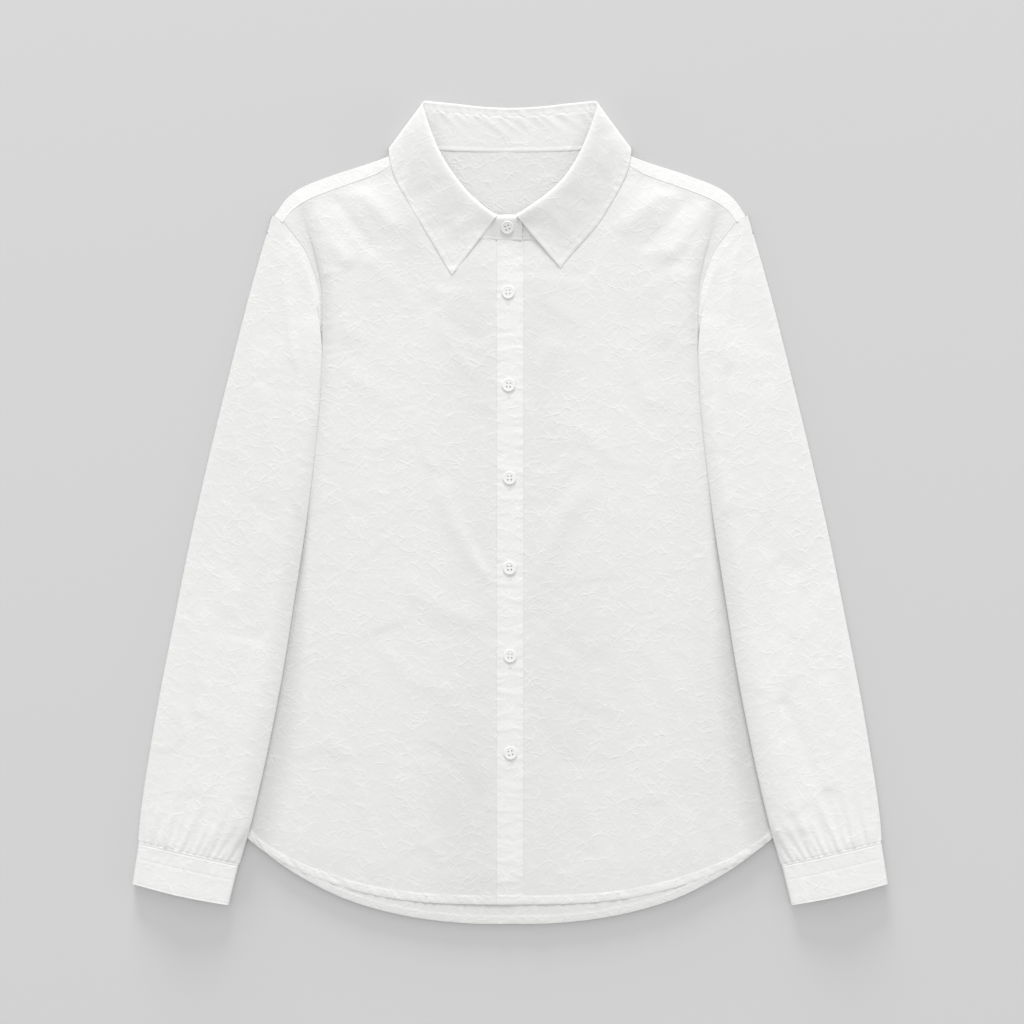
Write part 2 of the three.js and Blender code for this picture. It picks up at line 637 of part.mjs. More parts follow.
// A rib of the collar, from the stand's upper edge over the roll to the outer edge.
function collarRib(s, side) {
  const { turn, seam, roll, tip, standShare } = collarStation(s);
  const point = (a, y, z) => new THREE.Vector3(sideSign[side] * a, y, z);
  const up = (share, below) =>
    point(mix(seam.a, roll.a, share), mix(seam.y, roll.y, share), roll.z - below);
  const rising = [
    up(standShare + 0.09, mix(2.5, 1.0, turn)),
    up(mix(0.95, 0.86, turn), mix(2.0, 0.2, turn)),
    up(1, mix(1.2, 1.0, turn)),
  ];
  const overFold = smooth((s - 0.38) / 0.1) * (1 - turn);
  const fallen = COLLAR_FALL.map(({ w, top, under }) =>
    point(
      mix(roll.a, tip.a, w),
      mix(roll.y, tip.y, w),
      tip.z + (roll.z - tip.z) * mix(top, under, turn) + overFold * Math.sin(Math.PI * w),
    ),
  );
  return [...rising, ...fallen];
}

function collar() {
  return clothWall(
    [
      ...COLLAR_STATIONS.map((s) => collarRib(s, "right")),
      collarRib(1, "left"),
      ...COLLAR_STATIONS.map((s) => collarRib(s, "left")).reverse(),
    ],
    CLOTH,
  );
}

// The stand laps over the neckline: over the fronts, over the yoke's fold, then over the back.
function standFoot(s, side) {
  const { seam, turn } = collarStation(s);
  const overFront = frontLevel(side, seam.a, seam.y) + LAYER + 0.2;
  const overFold = LAYER * smooth((s - 0.44) / 0.06);
  const overBack = CLOTH / 2 + 2 * LAYER;
  return mix(overFront + overFold, overBack, turn);
}

function standRib(s, side) {
  const { seam, roll, turn, standShare } = collarStation(s);
  const foot = standFoot(s, side);
  const top = roll.z - mix(2.8, 1.2, turn);
  const tucked = side === "left" ? 1.7 * (1 - smooth((s - 0.04) / 0.1)) : 0;
  return steps(3).map((t) => {
    const share = standShare * t;
    const z = mix(foot, top, t) - tucked * t;
    return new THREE.Vector3(sideSign[side] * mix(seam.a, roll.a, share), mix(seam.y, roll.y, share), z);
  });
}

function collarStand() {
  const end = (side) =>
    [STAND_END[side], -2, 5].map((a) =>
      standRib(0, side).map(({ y, z }) => new THREE.Vector3(sideSign[side] * a, y - 0.3, z)),
    );
  return clothWall(
    [
      ...end("right"),
      ...COLLAR_STATIONS.map((s) => standRib(s, "right")),
      standRib(1, "left"),
      ...COLLAR_STATIONS.map((s) => standRib(s, "left")).reverse(),
      ...end("left").reverse(),
    ],
    CLOTH,
  );
}

// ---- buttons ----
// The section of a button, from its axis: a flat back, a raised rim and a sunken face.
const BUTTON_SECTION = [
  { r: 0, z: -1 },
  { r: 4.9, z: -1 },
  { r: BUTTON_RADIUS, z: 0.1 },
  { r: 5.2, z: 1 },
  { r: 4.0, z: 1 },
  { r: 3.3, z: 0.5 },
  { r: 0, z: 0.5 },
];

function solidOf(geometry) {
  geometry.deleteAttribute("normal");
  geometry.deleteAttribute("uv");
  const merged = mergeVertices(geometry, 1e-4);
  const vertProperties = merged.attributes.position.array;
  const triVerts = new Uint32Array(merged.index.array);
  return new wasm.Manifold(new wasm.Mesh({ numProp: 3, vertProperties, triVerts }));
}

function geometryOf(solid) {
  const { vertProperties, triVerts } = solid.getMesh();
  const geometry = new THREE.BufferGeometry();
  geometry.setAttribute("position", new THREE.BufferAttribute(vertProperties, 3));
  geometry.setIndex(new THREE.BufferAttribute(triVerts, 1));
  geometry.computeVertexNormals();
  return geometry;
}

function buttonGeometry() {
  const section = BUTTON_SECTION.map(({ r, z }) => new THREE.Vector2(r, (z * BUTTON_THICK) / 2));
  let disc = solidOf(new THREE.LatheGeometry(section, 14).rotateX(Math.PI / 2));
  for (const [x, y] of [[1, 1], [1, -1], [-1, 1], [-1, -1]]) {
    const hole = new THREE.CylinderGeometry(BUTTON_HOLE_RADIUS, BUTTON_HOLE_RADIUS, 2 * BUTTON_THICK, 5);
    hole.rotateX(Math.PI / 2);
    hole.translate(x * BUTTON_HOLE_OFFSET, y * BUTTON_HOLE_OFFSET, 0);
    disc = disc.subtract(solidOf(hole));
  }
  return geometryOf(disc);
}

const BUTTON_LIFT = SEAM_GAP + BUTTON_THICK / 2; // from the cloth to the middle of its button
// Buttons down the placket, from the second to the hem. turn is in degrees.
const PLACKET_BUTTONS = [
  { x: -1.7, y: 191.8, turn: 4 },
  { x: -1.3, y: 110.9, turn: -3 },
  { x: -0.4, y: 30, turn: 2 },
  { x: -0.4, y: -48.3, turn: 5 },
  { x: 0, y: -124.8, turn: -4 },
  { x: 0.4, y: -209.2, turn: 12 },
];
const NECK_BUTTON = { x: -2.4, share: 0.52, turn: 22 }; // share of the stand's height
const CUFF_BUTTON = { w: 0.5, v: 0.5, z: 1.25 };

// ---- the shirt ----
add("back_panel", backPanel());
add("yoke", yoke());
for (const side of ["right", "left"]) {
  add(`front_${side}`, frontPanel(side));
  add(`sleeve_${side}`, sleeve(side));
  add(`cuff_${side}`, cuff(side));
}
add("placket", placket());
add("collar_stand", collarStand());
add("collar", collar());

const button = buttonGeometry();
const degrees = (angle) => THREE.MathUtils.degToRad(angle);

// The neck button lies square on the slope of the stand's right end.
const rightEnd = standRib(0, "right");
const foot = rightEnd[0];
const slope = rightEnd.at(-1).clone().sub(foot);
const tilt = Math.atan2(slope.z, slope.y);
const neckButton = add("button_1", button.clone(), BUTTON_PLASTIC);
const standOut = CLOTH / 2 + BUTTON_LIFT;
neckButton.position.set(
  NECK_BUTTON.x,
  foot.y - 0.3 + NECK_BUTTON.share * slope.y - standOut * Math.sin(tilt),
  foot.z + NECK_BUTTON.share * slope.z + standOut * Math.cos(tilt),
);
neckButton.rotation.set(tilt, 0, degrees(NECK_BUTTON.turn), "XYZ");

PLACKET_BUTTONS.forEach(({ x, y, turn }, i) => {
  const mesh = add(`button_${i + 2}`, button.clone(), BUTTON_PLASTIC);
  mesh.position.set(x, y, placketLevel(x, y) + BAND / 2 + BUTTON_LIFT);
  mesh.rotation.z = degrees(turn);
});

// Each cuff's button faces the surface the shirt lies on.
for (const side of ["right", "left"]) {
  const mesh = add(`cuff_button_${side}`, button.clone(), BUTTON_PLASTIC);
  const { a, y } = cuffPlan(CUFF_BUTTON.w, CUFF_BUTTON.v);
  mesh.position.set(sideSign[side] * a, y, CUFF_BUTTON.z);
  mesh.rotation.x = Math.PI;
}

export default group;
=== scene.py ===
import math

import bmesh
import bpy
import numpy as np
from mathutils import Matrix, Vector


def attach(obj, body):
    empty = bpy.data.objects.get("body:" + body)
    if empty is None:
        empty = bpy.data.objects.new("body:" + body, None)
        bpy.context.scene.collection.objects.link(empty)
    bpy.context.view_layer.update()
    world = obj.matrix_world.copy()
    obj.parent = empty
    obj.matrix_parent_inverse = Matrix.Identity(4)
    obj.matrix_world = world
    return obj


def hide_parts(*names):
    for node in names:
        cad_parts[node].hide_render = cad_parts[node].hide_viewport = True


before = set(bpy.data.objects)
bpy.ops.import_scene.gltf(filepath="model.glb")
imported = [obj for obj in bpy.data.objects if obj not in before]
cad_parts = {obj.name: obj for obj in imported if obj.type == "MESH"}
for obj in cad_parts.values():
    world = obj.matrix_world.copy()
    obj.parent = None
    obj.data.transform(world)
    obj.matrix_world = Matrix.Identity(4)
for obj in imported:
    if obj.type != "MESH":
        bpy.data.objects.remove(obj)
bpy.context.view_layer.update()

# %% [markdown]
# # A crumpled cotton shirt, buttoned and laid flat
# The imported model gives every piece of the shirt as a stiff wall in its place. Here each of them gets
# its cloth: a thin shell on the same form, with soft folds, a crumpled surface, hems, stitches and
# buttons. Sizes are in millimetres until a mesh is filled, because a shirt is measured in them.
# X runs across the shirt, Y from hem to collar, Z up. Most shapes are the same on both halves, so they
# are written once, with a as the distance outwards from the centre line.

MM = 0.001
SIGN = {"right": -1.0, "left": 1.0}  # the wearer's right side lies at negative X
NEXT = {"right": 0, "left": 1}  # added to a seed, so that the two sides differ


# %% [markdown]
# ## Small maths
# Outlines are short tables with named columns, read through a smooth curve. numpy works on whole
# grids of points at once, which keeps a sheet of fifty thousand points quick.

# %% Curves through short tables
def mix(p, q, t):
    return p + (q - p) * t


def smooth(t):
    t = np.clip(t, 0.0, 1.0)
    return t * t * (3 - 2 * t)


def fall(t):
    return 1 - smooth(t)


def bell(off, width):
    return np.exp(-((off / width) ** 2))


def table(columns, rows):
    return dict(zip(columns.split(), np.array(rows, float).T))


def along_curve(knots, values, at):
    """Smooth curve through values, whose first axis follows the knots, read at the places in at."""
    knots, values = np.asarray(knots, float), np.asarray(values, float)
    wide = (..., *(None,) * (values.ndim - 1))
    slopes = np.empty_like(values)
    slopes[0] = (values[1] - values[0]) / (knots[1] - knots[0])
    slopes[-1] = (values[-1] - values[-2]) / (knots[-1] - knots[-2])
    slopes[1:-1] = (values[2:] - values[:-2]) / (knots[2:] - knots[:-2])[wide]
    i = np.clip(np.searchsorted(knots, at, side="right") - 1, 0, len(knots) - 2)
    span = (knots[i + 1] - knots[i])[wide]
    t = ((at - knots[i]) / (knots[i + 1] - knots[i]))[wide]
    from_left = values[i] * (1 + 2 * t) * (1 - t) ** 2 + slopes[i] * span * t * (1 - t) ** 2
    from_right = values[i + 1] * t * t * (3 - 2 * t) - slopes[i + 1] * span * t * t * (1 - t)
    return from_left + from_right


def curve(rows, key, column):
    """A smooth curve through the table's rows: value of column at a place along key."""
    xs, ys = rows[key], rows[column]
    return lambda x: along_curve(xs, ys, np.clip(x, xs[0], xs[-1]))


def meet(column_at, edge_at, low, high):
    """The y where each column of points, a = column_at(y), meets an edge curve, y = edge_at(a)."""
    low, high = np.asarray(low, float), np.asarray(high, float)
    for _ in range(36):
        middle = (low + high) / 2
        above = edge_at(column_at(middle)) > middle
        low, high = np.where(above, middle, low), np.where(above, high, middle)
    return (low + high) / 2


# %% [markdown]
# ## The cut of the shirt
# These are the sizes that the solids were made from: the outline, the seams and the heights of the
# stack of cloth. The cloth follows them, so every piece lies where its solid lies.

# %% Heights of the stack
LAYER = 1.3  # one cloth layer with its clearance
LOFT = 0.6  # air between the front and the back
PLACKET_HALF = 11.3
PLACKET_LIFT = 1.6
NECK_LIFT = 0.65
CLOTH_MIDDLE = 0.5  # middle of the lowest layer
CLOTH = 0.5  # thickness of the shown cloth
NECK_HALF = 90.0
YOKE_SEAM_Y = 215.0

# %% Outline of one half
SIDE = table("y foot front back ridge", [
    [-306, 234.2, 243, 243, 0.2],
    [-268, 223.4, 240, 240, 0.2],
    [-207, 209.5, 232, 232, 0.5],
    [-137, 196, 224, 224, 1.0],
    [-67, 185.2, 217, 217, 1.7],
    [0, 176, 211, 211, 2.4],
    [54, 169.5, 207, 207, 2.8],
    [90, 165.8, 205, 205, 3.0],
    [108, 164.6, 203, 203, 3.0],
    [120, 164.0, 190, 198, 3.0],
    [135, 163.4, 172, 192, 3.0],
    [150, 162.8, 165.2, 188, 3.0],
    [165, 162.3, 164.8, 186.4, 3.0],
    [180, 162.2, 165.0, 186, 3.0],
    [195, 163.0, 166.6, 187, 2.9],
    [210, 165.4, 171.0, 188.8, 2.7],
    [228, 169.6, 178.0, 193.5, 2.4],
    [240, 173.0, 186.4, 198.4, 1.4],
    [254.7, 177.0, 197.4, 204.6, 0.6],
    [262, 178.6, 197.9, 206, 0.2],
    [272, 179.6, 197.9, 206, 0],
    [325, 182.0, 197.9, 206, 0],
])
foot_at, front_edge_at, back_edge_at, ridge_at = (
    curve(SIDE, "y", column) for column in ("foot", "front", "back", "ridge")
)

HEM = table("a front back", [
    [-40, -340.9, -357.8],
    [0, -341.3, -358.3],
    [34, -341.2, -357.9],
    [74, -339.4, -354.0],
    [112, -334.4, -346.4],
    [148, -325.3, -334.6],
    [186, -311.0, -315.0],
    [215, -294.0, -294.6],
    [232, -280.0, -280.0],
    [241, -266.0, -266.0],
])
front_hem_at, back_hem_at = (curve(HEM, "a", column) for column in ("front", "back"))

NECKLINE = table("a y", [
    [-12, 238.2], [0, 238.0], [14, 238.4], [30, 240.6], [50, 248.2], [66, 260.4],
    [78, 277.0], [86, 296.0], [90, 313.0],
])
YOKE_FRONT = table("a y", [
    [90, 313.0], [102.8, 305.0], [116.3, 297.2], [136.3, 289.8], [156.3, 282.7],
    [177.3, 273.8], [190.4, 264.6], [197.9, 254.7],
])
SHOULDER = table("q a y", [
    [0, 90, 319.2], [0.14, 106, 311.0], [0.32, 127, 303.4], [0.55, 155, 294.4],
    [0.78, 183, 283.0], [0.9, 196.4, 272.6], [1, 205.6, 259.2],
])
neckline_at, yoke_front_at = (curve(rows, "a", "y") for rows in (NECKLINE, YOKE_FRONT))
shoulder_a, shoulder_y = (curve(SHOULDER, "q", column) for column in ("a", "y"))


def front_top_at(a):
    return np.where(a < NECK_HALF, neckline_at(a), yoke_front_at(a))


print("half the front is", round(float(foot_at(-300.0))), "mm wide at the hem")

# %% [markdown]
# ## Crumple
# Washed cotton that was never ironed keeps a net of small facets: flat patches that tip a little this
# way and that, with short thin creases between them. A height map of the whole shirt holds them, one
# number for each millimetre. Facets come from scattered points, each owning the cloth nearest to it,
# and creases are drawn one by one as short bent ridges. All the random numbers come from seeds, so
# the shirt is crumpled the same way every time.

# %% The crumple map
MAP_STEP = 1.0
MAP_X = np.arange(-336, 337, MAP_STEP)
MAP_Y = np.arange(-366, 367, MAP_STEP)
map_x, map_y = np.meshgrid(MAP_X, MAP_Y)


def facets(cell, tilt, seed):
    """Patches about one cell across, each tipped at random by up to tilt."""
    dice = np.random.default_rng(seed)
    count_x = int(np.ptp(MAP_X) / cell) + 4
    count_y = int(np.ptp(MAP_Y) / cell) + 4
    jitter = dice.uniform(0.1, 0.9, (2, count_y, count_x))
    slope = dice.uniform(-tilt, tilt, (2, count_y, count_x))
    column = ((map_x - MAP_X[0]) / cell).astype(int) + 1
    row = ((map_y - MAP_Y[0]) / cell).astype(int) + 1
    nearest = np.full(map_x.shape, 1e9)
    height = np.zeros(map_x.shape)
    for dr in (-1, 0, 1):
        for dc in (-1, 0, 1):
            r, c = row + dr, column + dc
            off_x = map_x - (MAP_X[0] + (c - 1 + jitter[0, r, c]) * cell)
            off_y = map_y - (MAP_Y[0] + (r - 1 + jitter[1, r, c]) * cell)
            far = off_x**2 + off_y**2
            own = far < nearest
            nearest = np.where(own, far, nearest)
            height = np.where(own, slope[0, r, c] * off_x + slope[1, r, c] * off_y, height)
    return height


def blur(height, times):
    for _ in range(times):
        for axis in (0, 1):
            height = (np.roll(height, 1, axis) + 2 * height + np.roll(height, -1, axis)) / 4
    return height


def draw_crease(height, x, y, angle, length, bend, width, rise):
    """Adds one short crease: a ridge with a shallow trough along one side."""
    reach = length / 2 + 4 * width
    c0, c1 = np.searchsorted(MAP_X, (x - reach, x + reach))
    r0, r1 = np.searchsorted(MAP_Y, (y - reach, y + reach))
    dx, dy = map_x[r0:r1, c0:c1] - x, map_y[r0:r1, c0:c1] - y
    along = dx * math.cos(angle) + dy * math.sin(angle)
    off = dy * math.cos(angle) - dx * math.sin(angle) - bend * along**2 / length
    fade = smooth(2.2 * (1 - np.abs(along) / (length / 2)))
    section = bell(off, width) - 0.7 * bell(off - 1.7 * width, width)
    height[r0:r1, c0:c1] += rise * fade * section


def crumple_map(seed, creases):
    dice = np.random.default_rng(seed)
    height = blur(facets(24, 0.0065, seed + 1) + facets(12.5, 0.0075, seed + 2), 2)
    height += blur(facets(52, 0.009, seed + 3), 7)
    for _ in range(creases):
        draw_crease(
            height,
            x=dice.uniform(MAP_X[0], MAP_X[-1]),
            y=dice.uniform(MAP_Y[0], MAP_Y[-1]),
            angle=dice.choice([0.6, -0.6]) + dice.normal(0, 0.36),
            length=dice.gamma(3.0, 4.5) + 8,
            bend=dice.normal(0, 0.08),
            width=dice.uniform(1.0, 1.6),
            rise=dice.choice([1, 1, 1, -0.7]) * dice.gamma(2.4, 0.017),
        )
    return height


def sample(height, x, y):
    """Reads a map between its points."""
    fx = np.clip((x - MAP_X[0]) / MAP_STEP, 0, len(MAP_X) - 1.001)
    fy = np.clip((y - MAP_Y[0]) / MAP_STEP, 0, len(MAP_Y) - 1.001)
    c, r = fx.astype(int), fy.astype(int)
    tx, ty = fx - c, fy - r
    upper = mix(height[r, c], height[r, c + 1], tx)
    lower = mix(height[r + 1, c], height[r + 1, c + 1], tx)
    return mix(upper, lower, ty)


BODY_CRUMPLE = crumple_map(seed=11, creases=5200)
SLEEVE_CRUMPLE = crumple_map(seed=57, creases=5200)
print("the crumple is", round(float(np.ptp(BODY_CRUMPLE)), 2), "mm deep")

# %% [markdown]
# ## Making a sheet
# A sheet of cloth is a grid that gets laid in place: every point of the grid knows where it is across
# and along its piece, and one function says where that lands on the shirt. The grid then gets the
# thickness of the cloth. Its UV map holds the same two distances, in metres, for the weave.

# %% A grid laid in place
WELD = 0.02  # points closer than this are one point


def xyz(x, y, z):
    """Points from their coordinates, which may be numbers, rows or whole grids."""
    return np.stack(np.broadcast_arrays(x, y, z), axis=-1)


def show(name, data):
    """Puts a mesh, a lamp or a camera into the scene as an object."""
    made = bpy.data.objects.new(name, data)
    bpy.context.collection.objects.link(made)
    return made


def mesh_from(bm, name, *materials):
    mesh = bpy.data.meshes.new(name)
    bm.to_mesh(mesh)
    bm.free()
    for material in materials:
        mesh.materials.append(material)
    return mesh


def in_steps(length, step):
    """Shares from 0 to 1 that cut a length into pieces of about one step."""
    return np.linspace(0, 1, max(2, round(length / step)) + 1)


def measured(points, axis):
    """Distance walked along one axis of a grid of points."""
    legs = np.linalg.norm(np.diff(points, axis=axis), axis=2)
    start = np.zeros_like(np.take(legs, [0], axis=axis))
    return np.concatenate([start, np.cumsum(legs, axis=axis)], axis=axis)


def lay_grid(bm, points, uv_layer, painted_shade_layer, flip, painted_shade=0):
    """Adds a grid of points (rows, columns, xyz in mm) to bm, with its UV in metres."""
    painted_shade = np.broadcast_to(painted_shade, points.shape[:2])
    rows, columns = points.shape[:2]
    made = bmesh.ops.create_grid(bm, x_segments=columns - 1, y_segments=rows - 1, size=1)["verts"]
    across, up = measured(points, 1) * MM, measured(points, 0) * MM
    places = {}
    for k, vert in enumerate(made):
        r, c = divmod(k, columns)
        vert.co = points[r, c] * MM
        places[vert] = (across[r, c], up[r, c])
        vert[painted_shade_layer] = painted_shade[r, c]
    faces = {face for vert in made for face in vert.link_faces}
    for face in faces:
        for loop in face.loops:
            loop[uv_layer].uv = places[loop.vert]
    if flip:
        bmesh.ops.reverse_faces(bm, faces=list(faces))


def cloth(name, grids, wall=CLOTH, material=None, weld=False):
    """Makes one sheet from grids of points, and gives it the wall's thickness.

    Each grid is (points, whether it faces down as laid, and the painted shade on its points)."""
    bm = bmesh.new()
    uv_layer = bm.loops.layers.uv.new("cloth")
    # painted shade on every point: it darkens the cotton's colour, and below 0 it is a painted
    # highlight
    painted_shade_layer = bm.verts.layers.float.new("painted_shade")
    for points, flip, *painted_shade in grids:
        lay_grid(bm, points, uv_layer, painted_shade_layer, flip, *painted_shade)
    if weld:
        bmesh.ops.remove_doubles(bm, verts=bm.verts, dist=WELD * MM)
    for face in bm.faces:
        face.smooth = True
    for edge in bm.edges:
        edge.smooth = not edge.is_boundary
    sheet = show(name, mesh_from(bm, name, material or COTTON))
    thick = sheet.modifiers.new("cloth", "SOLIDIFY")
    thick.thickness = wall * MM
    thick.offset = 0
    print(name, "has", len(sheet.data.polygons), "faces")
    return sheet


# %% [markdown]
# ## Puckers
# A line of stitches draws the cloth in a little, so short ridges stand across every seam and hem, and
# fade out beside it. They're never spaced evenly.

# %% Puckers beside a seam
def puckers(along, across, length, pitch, reach, rise, seed, lean=0.35, slant=0, wide=(1.0, 2.6)):
    """Height of puckers at a distance along a seam and across from it, both in mm.

    slant leans them all to one side, and lean spreads them about that."""
    dice = np.random.default_rng(seed)
    height = np.zeros(np.broadcast(along, across).shape)
    at = dice.uniform(0, pitch)
    while at < length:
        width = dice.uniform(*wide)
        own_rise = rise * dice.uniform(0.3, 1.0) * dice.choice([1, 1, -0.7])
        own_reach = reach * dice.uniform(0.5, 1.5)
        off = along - at - across * dice.normal(slant, lean)
        fade = bell(np.abs(across), own_reach)
        height += own_rise * fade * bell(off, width)
        at += pitch * dice.uniform(0.45, 1.7)
    return height


# %% [markdown]
# ## Cotton and button plastic
# The cotton is a plain weave, white with a little warmth, and so dull that it hardly shines. Its
# surface adds what is too small for the grid: a net of hair-fine creases left by washing, and the
# threads themselves. Its colour also holds painted light and shade: a painted highlight on each
# crease's ridge, and painted shade kept on the sheets' points. The buttons are milky plastic with a
# soft shine.

# %% Materials
def set_inputs(made, inputs):
    for key, value in inputs.items():
        made.inputs[key.replace("_", " ")].default_value = value


def start_material(name, color, roughness, **inputs):
    material = bpy.data.materials.new(name)
    material.use_nodes = True
    shader = material.node_tree.nodes["Principled BSDF"]
    set_inputs(shader, {"Base_Color": (*color, 1), "Roughness": roughness, **inputs})
    return material


def node(material, kind, operation=None, **inputs):
    made = material.node_tree.nodes.new(kind)
    if operation:
        made.operation = operation
    set_inputs(made, inputs)
    return made


def map_range(material, from_min, from_max, to_min, to_max):
    return node(
        material, "ShaderNodeMapRange",
        From_Min=from_min, From_Max=from_max, To_Min=to_min, To_Max=to_max,
    )


def wire(material, *ends):
    for start, end in zip(ends[::2], ends[1::2]):
        material.node_tree.links.new(start, end)


def net_of_creases(material, where, cell, width, lean, long, seed):
    """A net of fine ridges between cells, drawn out along one direction and broken here and there.

    cell and width are in mm, lean in degrees, and long says how far the cells are drawn out."""
    scale = 1 / (cell * MM)
    turned = node(material, "ShaderNodeMapping", Rotation=(0, 0, math.radians(lean)))
    shift = node(
        material, "ShaderNodeMapping",
        Location=(seed * 0.37, seed * 0.71, 0), Scale=(1 / long, 1, 1),
    )
    cells = node(material, "ShaderNodeTexVoronoi", Scale=scale, Randomness=1.0)
    cells.feature = "DISTANCE_TO_EDGE"
    line = map_range(material, 0, width / cell, 1, 0)
    line.interpolation_type = "SMOOTHSTEP"
    patches = node(material, "ShaderNodeTexNoise", Scale=scale * 0.9, Detail=1.0)
    signed = map_range(material, 0.40, 0.66, -0.3, 1)
    both = node(material, "ShaderNodeMath", "MULTIPLY")
    wire(
        material,
        where, turned.inputs["Vector"],
        turned.outputs[0], shift.inputs["Vector"],
        shift.outputs[0], cells.inputs["Vector"],
        shift.outputs[0], patches.inputs["Vector"],
        cells.outputs["Distance"], line.inputs["Value"],
        patches.outputs["Fac"], signed.inputs["Value"],
        line.outputs["Result"], both.inputs[0],
        signed.outputs["Result"], both.inputs[1],
    )
    return both.outputs[0]


CREASE_NETS = [
    # cell and width in mm, lean in degrees, drawn out, height as a share, seed
    (7.5, 0.9, 34, 1.9, 1.0, 1),
    (7.5, 0.9, -34, 1.9, 1.0, 2),
    (12, 1.2, -50, 1.5, 0.9, 3),
    (5.2, 0.8, 58, 1.4, 0.6, 4),
]
CREASE_BEND = 0.004  # how far the nets wander, in metres
CREASE_PAINTED_HIGHLIGHT = 1.034  # a crease's ridge gets a little paler: a painted highlight
THREADS_A_METRE = 2000 / 1.27


def cotton_cloth(name, color, crease_height):
    material = start_material(
        name, color, 0.92, Specular_IOR_Level=0.2, Sheen_Weight=0.08, Sheen_Roughness=0.6,
    )
    shader = material.node_tree.nodes["Principled BSDF"]
    spot = node(material, "ShaderNodeTexCoord")
    bend = node(material, "ShaderNodeTexNoise", Scale=55.0, Detail=2.0)
    bent = node(material, "ShaderNodeVectorMath", "MULTIPLY_ADD")
    bent.inputs[1].default_value = (CREASE_BEND, CREASE_BEND, 0)
    wire(
        material,
        spot.outputs["Object"], bend.inputs["Vector"],
        bend.outputs["Color"], bent.inputs[0],
        spot.outputs["Object"], bent.inputs[2],
    )
    height = None
    for cell, width, lean, long, rise, seed in CREASE_NETS:
        net = net_of_creases(material, bent.outputs[0], cell, width, lean, long, seed)
        sized = node(material, "ShaderNodeMath", "MULTIPLY_ADD")
        sized.inputs[1].default_value = rise
        sized.inputs[2].default_value = 0
        wire(material, net, sized.inputs[0])
        if height is not None:
            wire(material, height, sized.inputs[2])
        height = sized.outputs[0]
    # painted light and shade in the colour: a painted highlight on each crease's ridge, less the
    # painted shade on the sheet's points
    crease_highlight = map_range(material, 0.1, 1.2, 1.0, CREASE_PAINTED_HIGHLIGHT)
    painted_shade = node(material, "ShaderNodeAttribute")
    painted_shade.attribute_name = "painted_shade"
    painted_light_and_shade = node(material, "ShaderNodeMath", "SUBTRACT")
    tinted = node(material, "ShaderNodeVectorMath", "SCALE")
    tinted.inputs[0].default_value = color
    wire(
        material,
        height, crease_highlight.inputs["Value"],
        crease_highlight.outputs["Result"], painted_light_and_shade.inputs[0],
        painted_shade.outputs["Fac"], painted_light_and_shade.inputs[1],
        painted_light_and_shade.outputs[0], tinted.inputs["Scale"],
        tinted.outputs[0], shader.inputs["Base Color"],
    )
    creased = node(material, "ShaderNodeBump", Strength=1.0, Distance=crease_height * MM)
    threads = []
    for direction in ("X", "Y"):
        thread = node(
            material, "ShaderNodeTexWave", Scale=THREADS_A_METRE / 2, Distortion=1.2, Detail=1.0,
        )
        thread.bands_direction = direction
        wire(material, spot.outputs["UV"], thread.inputs["Vector"])
        threads.append(thread.outputs["Fac"])
    weave = node(material, "ShaderNodeMath", "MAXIMUM")
    woven = node(material, "ShaderNodeBump", Strength=0.35, Distance=0.03 * MM)
    wire(
        material,
        height, creased.inputs["Height"],
        threads[0], weave.inputs[0],
        threads[1], weave.inputs[1],
        weave.outputs[0], woven.inputs["Height"],
        creased.outputs["Normal"], woven.inputs["Normal"],
        woven.outputs["Normal"], shader.inputs["Normal"],
    )
    return material


COTTON = cotton_cloth("cotton", (0.852, 0.849, 0.838), 0.12)
# a darker copy of the cotton: painted shade on the back's strip under the front's hem and inside the
# neck
COTTON_PAINTED_SHADE = cotton_cloth("cotton_painted_shade", (0.785, 0.783, 0.77), 0.15)
PRESSED_COTTON = cotton_cloth("pressed_cotton", (0.905, 0.902, 0.890), 0.10)
COLLAR_COTTON = cotton_cloth("collar_cotton", (0.885, 0.882, 0.870), 0.11)
THREAD = start_material("sewing_thread", (0.90, 0.90, 0.88), 0.6)
# a darker copy of the button plastic: painted shade on the first button, under the collar
SHADED_PLASTIC = start_material("button_plastic_painted_shade", (0.86, 0.856, 0.842), 0.3)
BUTTON_PLASTIC = start_material(
    "button_plastic", (0.93, 0.925, 0.91), 0.3,
    Subsurface_Weight=0.15, Subsurface_Radius=(0.002, 0.002, 0.0018),
)
print("button plastic:", BUTTON_PLASTIC.name, "and", SHADED_PLASTIC.name)


# %% [markdown]
# ## The folds of the body
# A shirt laid out by hand keeps long soft folds where it was drawn smooth: under the collar, from the
# armholes towards the chest and down beside the placket. Each is one row of a table: where it starts
# and ends, how wide it is and how high, and how far it bends sideways. Troughs have a height below 0.

